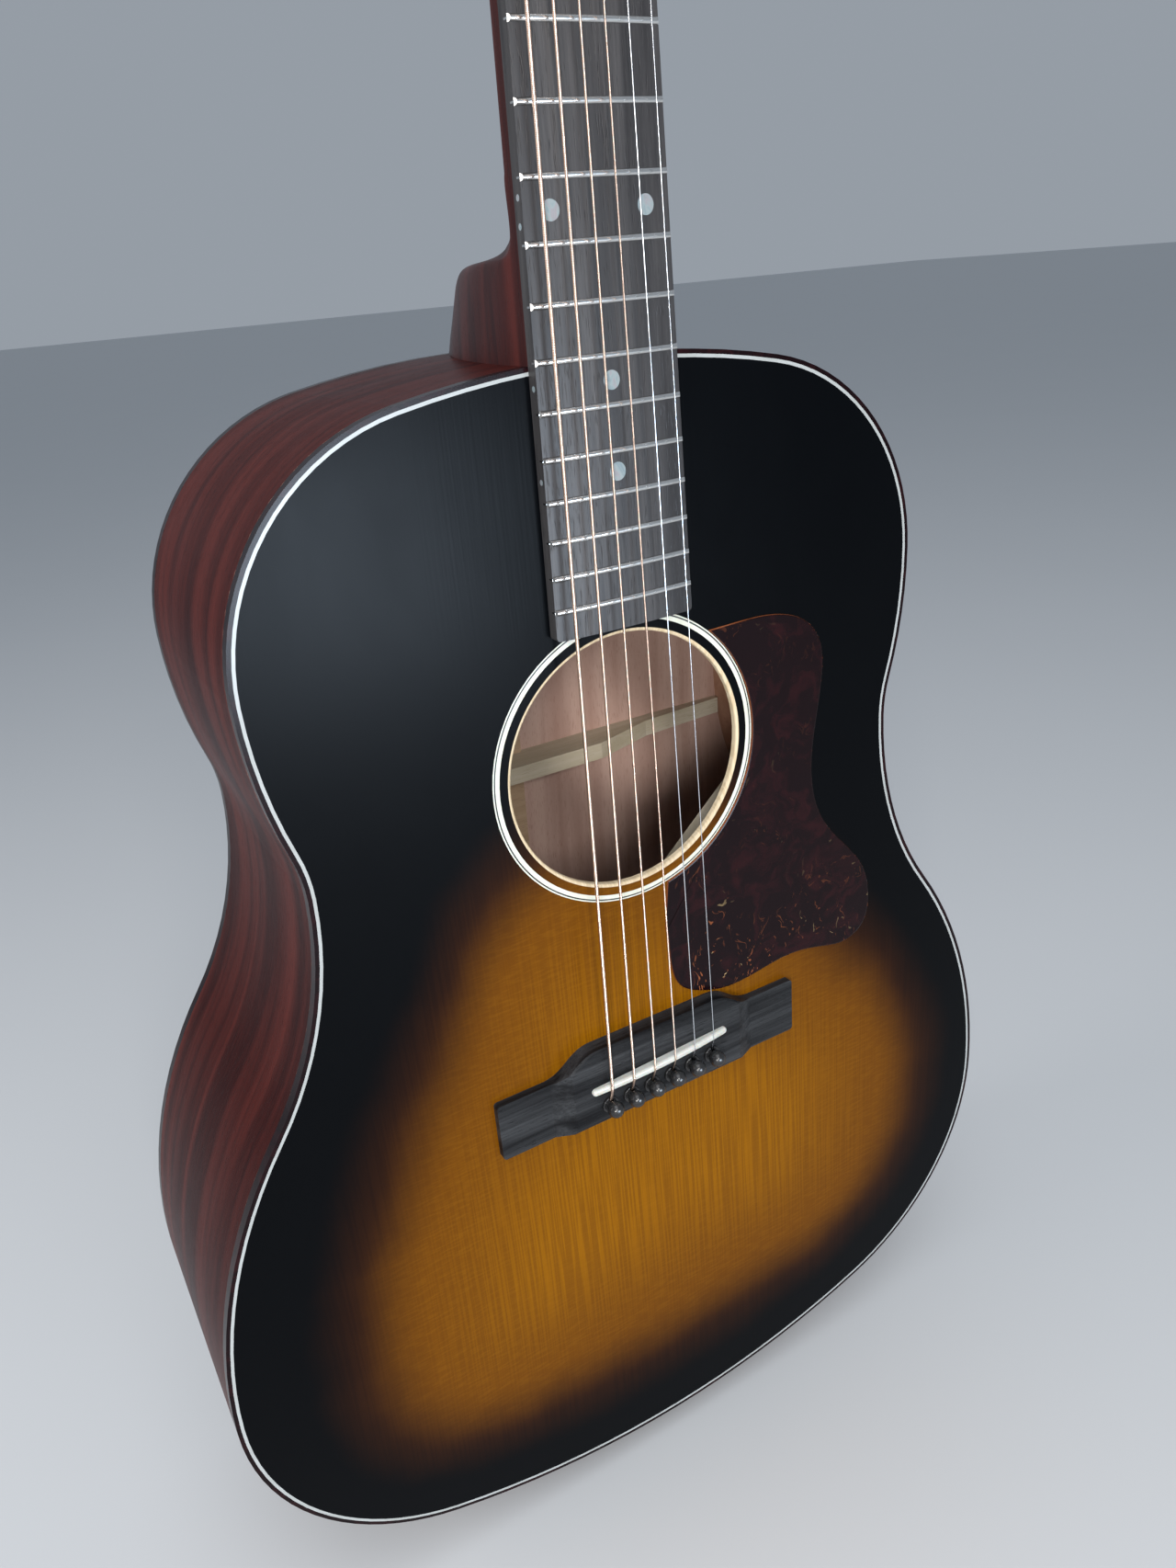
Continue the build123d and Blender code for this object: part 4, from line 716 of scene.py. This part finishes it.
class WoodSettings(bpy.types.PropertyGroup):
    """Mahogany of the back, sides and neck."""

    mahogany_light: colour_setting("Light ribbon", "Lighter ribbons", (0.082, 0.0155, 0.0120))
    mahogany_dark: colour_setting("Dark ribbon", "Darker ribbons", (0.020, 0.0035, 0.0035))
    mahogany_red: colour_setting("Red line", "Fine lines between the ribbons", (0.056, 0.0098, 0.0078))
    ribbon_width: length_setting("Ribbon width", "Typical width of one ribbon", 0.014)


class GuardSettings(bpy.types.PropertyGroup):
    """Tortoise pickguard."""

    dark: colour_setting("Dark", "Nearly black ground", (0.0060, 0.0016, 0.0026))
    maroon: colour_setting("Maroon", "Reddish mottle", (0.0170, 0.0032, 0.0046))
    orange: colour_setting("Orange", "Streaks", (0.36, 0.110, 0.040))
    cream: colour_setting("Cream", "Sparse pale flecks", (0.55, 0.40, 0.20))
    bevel: length_setting("Bevel", "Bevel round the front edge", 0.00055)


class BoardSettings(bpy.types.PropertyGroup):
    """Fingerboard and its dots."""

    wood_light: colour_setting("Light wood", "Lighter streaks", (0.074, 0.071, 0.073))
    wood_dark: colour_setting("Dark wood", "Darker streaks", (0.024, 0.023, 0.025))
    pearl: colour_setting("Pearl", "Main tone of the dots", (0.27, 0.33, 0.35))
    pearl_blue: colour_setting("Pearl blue", "Cooler bands of the dots", (0.18, 0.25, 0.29))


class StringSettings(bpy.types.PropertyGroup):
    """Strings."""

    bronze: colour_setting("Bronze", "Fresh wrap wire", (0.96, 0.73, 0.59))
    bronze_aged: colour_setting("Aged bronze", "Wrap wire that was handled", (0.84, 0.61, 0.47))
    wrap_pitch: length_setting("Wrap pitch", "Distance between turns of wrap wire", 0.00042)
    ridge: length_setting("Ridge", "How far each turn stands proud", 0.00003)
    sides: IntProperty(name="Sides", description="Faces round one string", default=10, min=6, max=24)


class StageSettings(bpy.types.PropertyGroup):
    """Floor, lights and camera."""

    floor: colour_setting("Floor", "Plain pale floor", (0.60, 0.62, 0.64))
    sky: FloatProperty(
        name="Room light", description="Strength of the even light", default=0.42, min=0.0
    )
    key: FloatProperty(
        name="Key light", description="Power that every softbox takes a share of", default=26.0,
        min=0.0, subtype="POWER",
    )
    lens: FloatProperty(
        name="Lens", description="Focal length, mm", default=26.57, min=10.0, max=200.0
    )


# ------------------------------------------------------------------ operators


class GUITAR_OT_soundboard(bpy.types.Operator):
    """Lacquer the spruce soundboard in its sunburst"""

    bl_idname = "guitar.soundboard"
    bl_label = "Soundboard"

    def execute(self, context):
        dress(["soundboard"], sunburst_finish(context.scene.guitar_top))
        return {"FINISHED"}


class GUITAR_OT_body(bpy.types.Operator):
    """Finish the mahogany back and sides, and leave their inner faces bare"""

    bl_idname = "guitar.body"
    bl_label = "Back and sides"

    def execute(self, context):
        wood = context.scene.guitar_wood
        sides = mahogany_finish("Mahogany Sides", wood, 0.04, rim_figure, inside_rim)
        dress(["side_bass", "side_treble"], sides)
        dress(["back"], mahogany_finish("Mahogany Back", wood, 0.25, inside=inside_back))
        return {"FINISHED"}


class GUITAR_OT_inside(bpy.types.Operator):
    """Finish the bare wood inside: braces, blocks, linings, plate and seam strip"""

    bl_idname = "guitar.inside"
    bl_label = "Inside wood"

    def execute(self, context):
        spruce = plain_wood(
            "Brace Spruce", (0.56, 0.50, 0.40), (0.45, 0.39, 0.28), (0.36, 0.29, 0.20),
            0.68, 0.25, along_x,
        )
        dress(["x_braces", "top_braces", "back_braces"], spruce)
        mahogany = plain_wood(
            "Bare Mahogany", (0.42, 0.24, 0.16), (0.32, 0.17, 0.11), (0.16, 0.08, 0.05),
            0.7, 0.25, along_x,
        )
        dress(["neck_block", "tail_block", "linings"], mahogany)
        maple = plain_wood(
            "Plate Maple", (0.50, 0.36, 0.24), (0.38, 0.26, 0.16), (0.25, 0.16, 0.10),
            0.62, 0.3, along_x, lines=0.0016,
        )
        dress(["bridge_plate", "back_strip"], maple)
        return {"FINISHED"}


class GUITAR_OT_trim(bpy.types.Operator):
    """Finish the bindings, the purfling and the rosette"""

    bl_idname = "guitar.trim"
    bl_label = "Bindings and rosette"

    def execute(self, context):
        dark = tortoise("Dark Binding", context.scene.guitar_guard, flecks=0.0, scale=1.6)
        dress(["binding_front", "binding_back"], dark)
        white = moulded("Ivory Plastic", (0.78, 0.80, 0.72), (0.64, 0.63, 0.50), 0.26, soft=0.1)
        dress(["rosette_white"], white)
        line = moulded("Purfling Plastic", (0.42, 0.45, 0.46), (0.33, 0.35, 0.34), 0.26, shine=0.3)
        dress(["purfling_front"], line)
        black = moulded("Black Plastic", (0.008, 0.008, 0.009), (0.03, 0.03, 0.03), 0.3)
        dress(["rosette_black"], black)
        return {"FINISHED"}


class GUITAR_OT_neck(bpy.types.Operator):
    """Finish the neck and the headstock's face"""

    bl_idname = "guitar.neck"
    bl_label = "Neck"

    def execute(self, context):
        dress(["neck"], mahogany_finish("Neck Mahogany", context.scene.guitar_wood, 0.16))
        dress(["headstock_overlay"], lacquered_overlay())
        return {"FINISHED"}


class GUITAR_OT_fingerboard(bpy.types.Operator):
    """Finish the fingerboard, dots, frets and nut"""

    bl_idname = "guitar.fingerboard"
    bl_label = "Fingerboard"

    def execute(self, context):
        board = context.scene.guitar_board
        wood = plain_wood(
            "Fingerboard Rosewood", board.wood_light, board.wood_dark, (0.012, 0.011, 0.012),
            0.42, 0.35, along_neck, lines=0.0011, pores=0.00045, depth=0.5,
        )
        dress(["fingerboard"], wood)
        dress(["inlay_dots"], pearl_finish(board))
        fret = metal("Fret Nickel", (0.78, 0.77, 0.75), (0.56, 0.55, 0.52), 0.2, (0.1, 1, 1))
        dress(["frets"], fret)
        bone = moulded("Bone", (0.58, 0.60, 0.57), (0.50, 0.49, 0.42), 0.3, cloud=180.0, soft=0.15)
        dress(["nut", "saddle"], bone)
        return {"FINISHED"}


class GUITAR_OT_bridge(bpy.types.Operator):
    """Finish the bridge, its pins, the heel cap and the end pin in ebony"""

    bl_idname = "guitar.bridge"
    bl_label = "Bridge and pins"

    def execute(self, context):
        wood = plain_wood(
            "Ebony", (0.050, 0.053, 0.058), (0.0030, 0.0030, 0.0038), (0.0015, 0.0015, 0.0015),
            0.40, 0.12, along_x, lines=0.0007, depth=0.5,
        )
        dress(["bridge", "heel_cap"], wood)
        pins = moulded("Turned Ebony", (0.012, 0.012, 0.013), (0.03, 0.03, 0.03), 0.26, cloud=300.0)
        dress([f"bridge_pin_{k}" for k in range(1, 7)] + ["end_pin"], pins)
        return {"FINISHED"}


class GUITAR_OT_pickguard(bpy.types.Operator):
    """Bevel and finish the tortoise pickguard"""

    bl_idname = "guitar.pickguard"
    bl_label = "Pickguard"

    def execute(self, context):
        guard = context.scene.guitar_guard
        bm = merged_copy("pickguard")
        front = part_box("pickguard")[0].y
        flush = 2e-5
        rim = [
            e for e in bm.edges
            if all(abs(v.co.y - front) < flush for v in e.verts)
            and len(e.link_faces) == 2
            and any(abs(f.normal.y) < 0.5 for f in e.link_faces)
        ]
        bmesh.ops.bevel(bm, geom=rim, offset=guard.bevel, segments=2, profile=0.6, affect="EDGES")
        mesh = bpy.data.meshes.new("pickguard_plate")
        bm.to_mesh(mesh)
        bm.free()
        mesh.materials.append(tortoise("Tortoise Celluloid", guard))
        new_piece("pickguard_plate", mesh, "guitar", "tortoise", "pickguard")
        return {"FINISHED"}


class GUITAR_OT_strings(bpy.types.Operator):
    """Finish the strings and lay the wrap wire's turns over the wound ones"""

    bl_idname = "guitar.strings"
    bl_label = "Strings"

    def execute(self, context):
        strings = context.scene.guitar_strings
        bronze = wound_wire(strings)
        dress(["wound_strings"], bronze)
        plain = metal("Plain Steel", (0.72, 0.74, 0.78), (0.50, 0.52, 0.55), 0.2, (1, 1, 0.05))
        dress(["plain_strings"], plain)
        tree = winding_tree(bronze)
        for k, (start, end, radius) in enumerate(wound_runs(), 1):
            name = f"string_wrap_{k}"
            mesh = tree.run(
                line_mesh(f"{name}_line", [start, end]), name,
                Core_Radius=radius - strings.ridge * WRAP_SUNK,
                Turn_Pitch=strings.wrap_pitch * (radius / WRAP_RADIUS) ** 0.5,
                Ridge=strings.ridge, Sides=strings.sides,
            )
            new_piece(name, mesh, "guitar", "bronze")
        return {"FINISHED"}


def wound_runs():
    """Start, end and radius of each wound string's winding between saddle and nut."""
    saddle_low, saddle_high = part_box("saddle")
    fret_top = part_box("frets")[0].y
    runs = []
    for k, wide in enumerate(WOUND_WIDTHS):
        radius = wide / 2
        place = k - MIDDLE_STRING
        low_x, top_x = place * PIN_SPACING, place * NUT_SPACING
        low_z = (saddle_low.z + saddle_high.z) / 2 + low_x * math.tan(SADDLE_SLANT)
        low = Vector((low_x, saddle_low.y + crown_drop(low_x) - radius - CREST_LIFT, low_z))
        top_y = fret_top + crown_drop(top_x) - NUT_ACTION - radius
        top = Vector((top_x, top_y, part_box("nut")[1].z + NUT_BREAK))
        runs.append((low.lerp(top, WRAP_START), low.lerp(top, WRAP_END), radius))
    return runs


def crown_drop(x):
    """How far the fingerboard's and saddle's curved tops fall at x from their middle."""
    return BOARD_RADIUS - math.sqrt(BOARD_RADIUS**2 - x * x)


class GUITAR_OT_tuners(bpy.types.Operator):
    """Finish the tuning machines, rod, screws and rod cover"""

    bl_idname = "guitar.tuners"
    bl_label = "Tuning machines"

    def execute(self, context):
        nickel = metal("Nickel Plate", (0.76, 0.75, 0.72), (0.55, 0.53, 0.48), 0.18)
        worms = [f"tuner_worm_{k}" for k in range(1, 7)]
        posts = [f"tuner_post_{k}" for k in range(1, 7)]
        dress(worms + posts + ["tuner_plates", "tuner_bushings", "headstock_screws"], nickel)
        cream = moulded(
            "Cream Button", (0.80, 0.74, 0.58), (0.68, 0.58, 0.38), 0.24, cloud=120.0, soft=0.15
        )
        dress([f"tuner_button_{k}" for k in range(1, 7)], cream)
        steel = metal("Rod Steel", (0.52, 0.52, 0.54), (0.36, 0.34, 0.32), 0.3, (1, 1, 0.1))
        dress(["truss_rod"], steel)
        brass = metal("Nut Brass", (0.78, 0.60, 0.30), (0.52, 0.36, 0.16), 0.26)
        dress(["truss_rod_nut"], brass)
        black = moulded("Black Cover", (0.008, 0.008, 0.009), (0.03, 0.03, 0.03), 0.24)
        dress(["truss_rod_cover"], black)
        return {"FINISHED"}


# Softboxes: name, place, target, width and height, share of the key light's power, colour.
LIGHTS = (
    ("key", (-1.12, -1.55, 0.62), SOUNDHOLE, (0.35, 0.35), 0.8, (1.0, 0.98, 0.95)),
    ("fill", (-0.42, -1.60, 1.10), SOUNDHOLE, (0.40, 0.40), 0.6, (1.0, 0.98, 0.96)),
    ("sheen", (0.20, -1.10, 0.24), (-0.12, 0.0, 0.42), (0.45, 0.30), 0.5, (0.70, 0.84, 1.0)),
    ("side", (-1.5, 0.30, 0.9), (-0.15, 0.06, 0.3), (0.7, 1.2), 0.30, (1.0, 0.95, 0.92)),
    ("above", (-0.3, -0.9, 2.4), (0.0, 0.0, 0.3), (1.6, 1.6), 0.8, (0.97, 0.98, 1.0)),
)
REFLECTED_ONLY = ("sheen",)
FLOOR_REACH = 30.0
FLOOR_GAP = 0.0005
ROOM_COLOUR = (0.72, 0.80, 0.90)
CAMERA_PLACE = (-0.20974, -0.35258, 0.53057)
CAMERA_RIGHT = Vector((0.85913, -0.50531, -0.08088))
CAMERA_UP = Vector((0.26912, 0.31171, 0.91127))
CAMERA_AHEAD = Vector((0.43525, 0.80467, -0.40379))


def softbox(name, place, target, size, power, colour):
    """Adds a rectangular area light at place, aimed at target."""
    light = bpy.data.lights.new(name, "AREA")
    light.shape = "RECTANGLE"
    light.size, light.size_y = size
    light.energy = power
    light.color = colour
    obj = bpy.data.objects.new(name, light)
    obj.location = place
    aim = Vector(target) - Vector(place)
    obj.rotation_mode = "QUATERNION"
    obj.rotation_quaternion = aim.to_track_quat("-Z", "Y")
    obj.visible_diffuse = name not in REFLECTED_ONLY
    bpy.context.scene.collection.objects.link(obj)


class GUITAR_OT_stage(bpy.types.Operator):
    """Lay the floor, hang the soft lights and set the camera"""

    bl_idname = "guitar.stage"
    bl_label = "Stage"

    def execute(self, context):
        scene, stage = context.scene, context.scene.guitar_stage
        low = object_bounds()[0].z - FLOOR_GAP
        mesh = bpy.data.meshes.new("floor")
        corners = [(-1, -1), (1, -1), (1, 1), (-1, 1)]
        points = [(x * FLOOR_REACH, y * FLOOR_REACH, low) for x, y in corners]
        mesh.from_pydata(points, [], [(0, 1, 2, 3)])
        floor = bpy.data.objects.new("floor", mesh)
        scene.collection.objects.link(floor)
        floor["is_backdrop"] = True
        paint = Finish("Floor Paint", Roughness=0.7)
        cloud = paint.noise(paint.coords, 3.0, 3.0)
        tone = paint.blend(paint.maths("MULTIPLY", cloud, 0.06), stage.floor, (0.4, 0.41, 0.43))
        mesh.materials.append(paint.feed(Base_Color=tone))
        world = bpy.data.worlds.new("Studio")
        world.use_nodes = True
        room = next(n for n in world.node_tree.nodes if n.type == "BACKGROUND")
        room.inputs[0].default_value = rgba(ROOM_COLOUR)
        room.inputs[1].default_value = stage.sky
        scene.world = world
        for name, place, target, size, share, colour in LIGHTS:
            softbox(name, place, target, size, stage.key * share, colour)
        camera = bpy.data.cameras.new("camera")
        camera.sensor_width = 36.0
        camera.lens = stage.lens
        camera.clip_start = 0.01
        view = bpy.data.objects.new("camera", camera)
        turn = Matrix((CAMERA_RIGHT, CAMERA_UP, -CAMERA_AHEAD)).transposed()
        view.matrix_world = Matrix.Translation(CAMERA_PLACE) @ turn.to_4x4()
        scene.collection.objects.link(view)
        scene.camera = view
        scene.view_settings.view_transform = "Standard"
        return {"FINISHED"}


class GUITAR_PT_panel(bpy.types.Panel):
    """Sizes and colours of the finish, and a button for each group of pieces"""

    bl_idname = "GUITAR_PT_panel"
    bl_label = "Guitar"
    bl_space_type = "VIEW_3D"
    bl_region_type = "UI"
    bl_category = "Guitar"

    def draw(self, context):
        for name, kind in SETTINGS.items():
            box = self.layout.box()
            box.label(text=kind.__doc__)
            group = getattr(context.scene, name)
            for key in kind.__annotations__:
                box.prop(group, key)
        for kind in OPERATORS:
            self.layout.operator(kind.bl_idname)


SETTINGS = {
    "guitar_top": TopSettings,
    "guitar_wood": WoodSettings,
    "guitar_guard": GuardSettings,
    "guitar_board": BoardSettings,
    "guitar_strings": StringSettings,
    "guitar_stage": StageSettings,
}
OPERATORS = (
    GUITAR_OT_soundboard, GUITAR_OT_body, GUITAR_OT_inside, GUITAR_OT_trim, GUITAR_OT_neck,
    GUITAR_OT_fingerboard, GUITAR_OT_bridge, GUITAR_OT_pickguard, GUITAR_OT_strings,
    GUITAR_OT_tuners, GUITAR_OT_stage,
)


def register():
    for kind in (*SETTINGS.values(), *OPERATORS, GUITAR_PT_panel):
        bpy.utils.register_class(kind)
    for name, kind in SETTINGS.items():
        setattr(bpy.types.Scene, name, PointerProperty(type=kind))


def unregister():
    for name in SETTINGS:
        delattr(bpy.types.Scene, name)
    for kind in reversed((*SETTINGS.values(), *OPERATORS, GUITAR_PT_panel)):
        bpy.utils.unregister_class(kind)


def main():
    register()
    for kind in OPERATORS:
        area, action = kind.bl_idname.split(".")
        getattr(getattr(bpy.ops, area), action)()


if __name__ == "__main__":
    main()
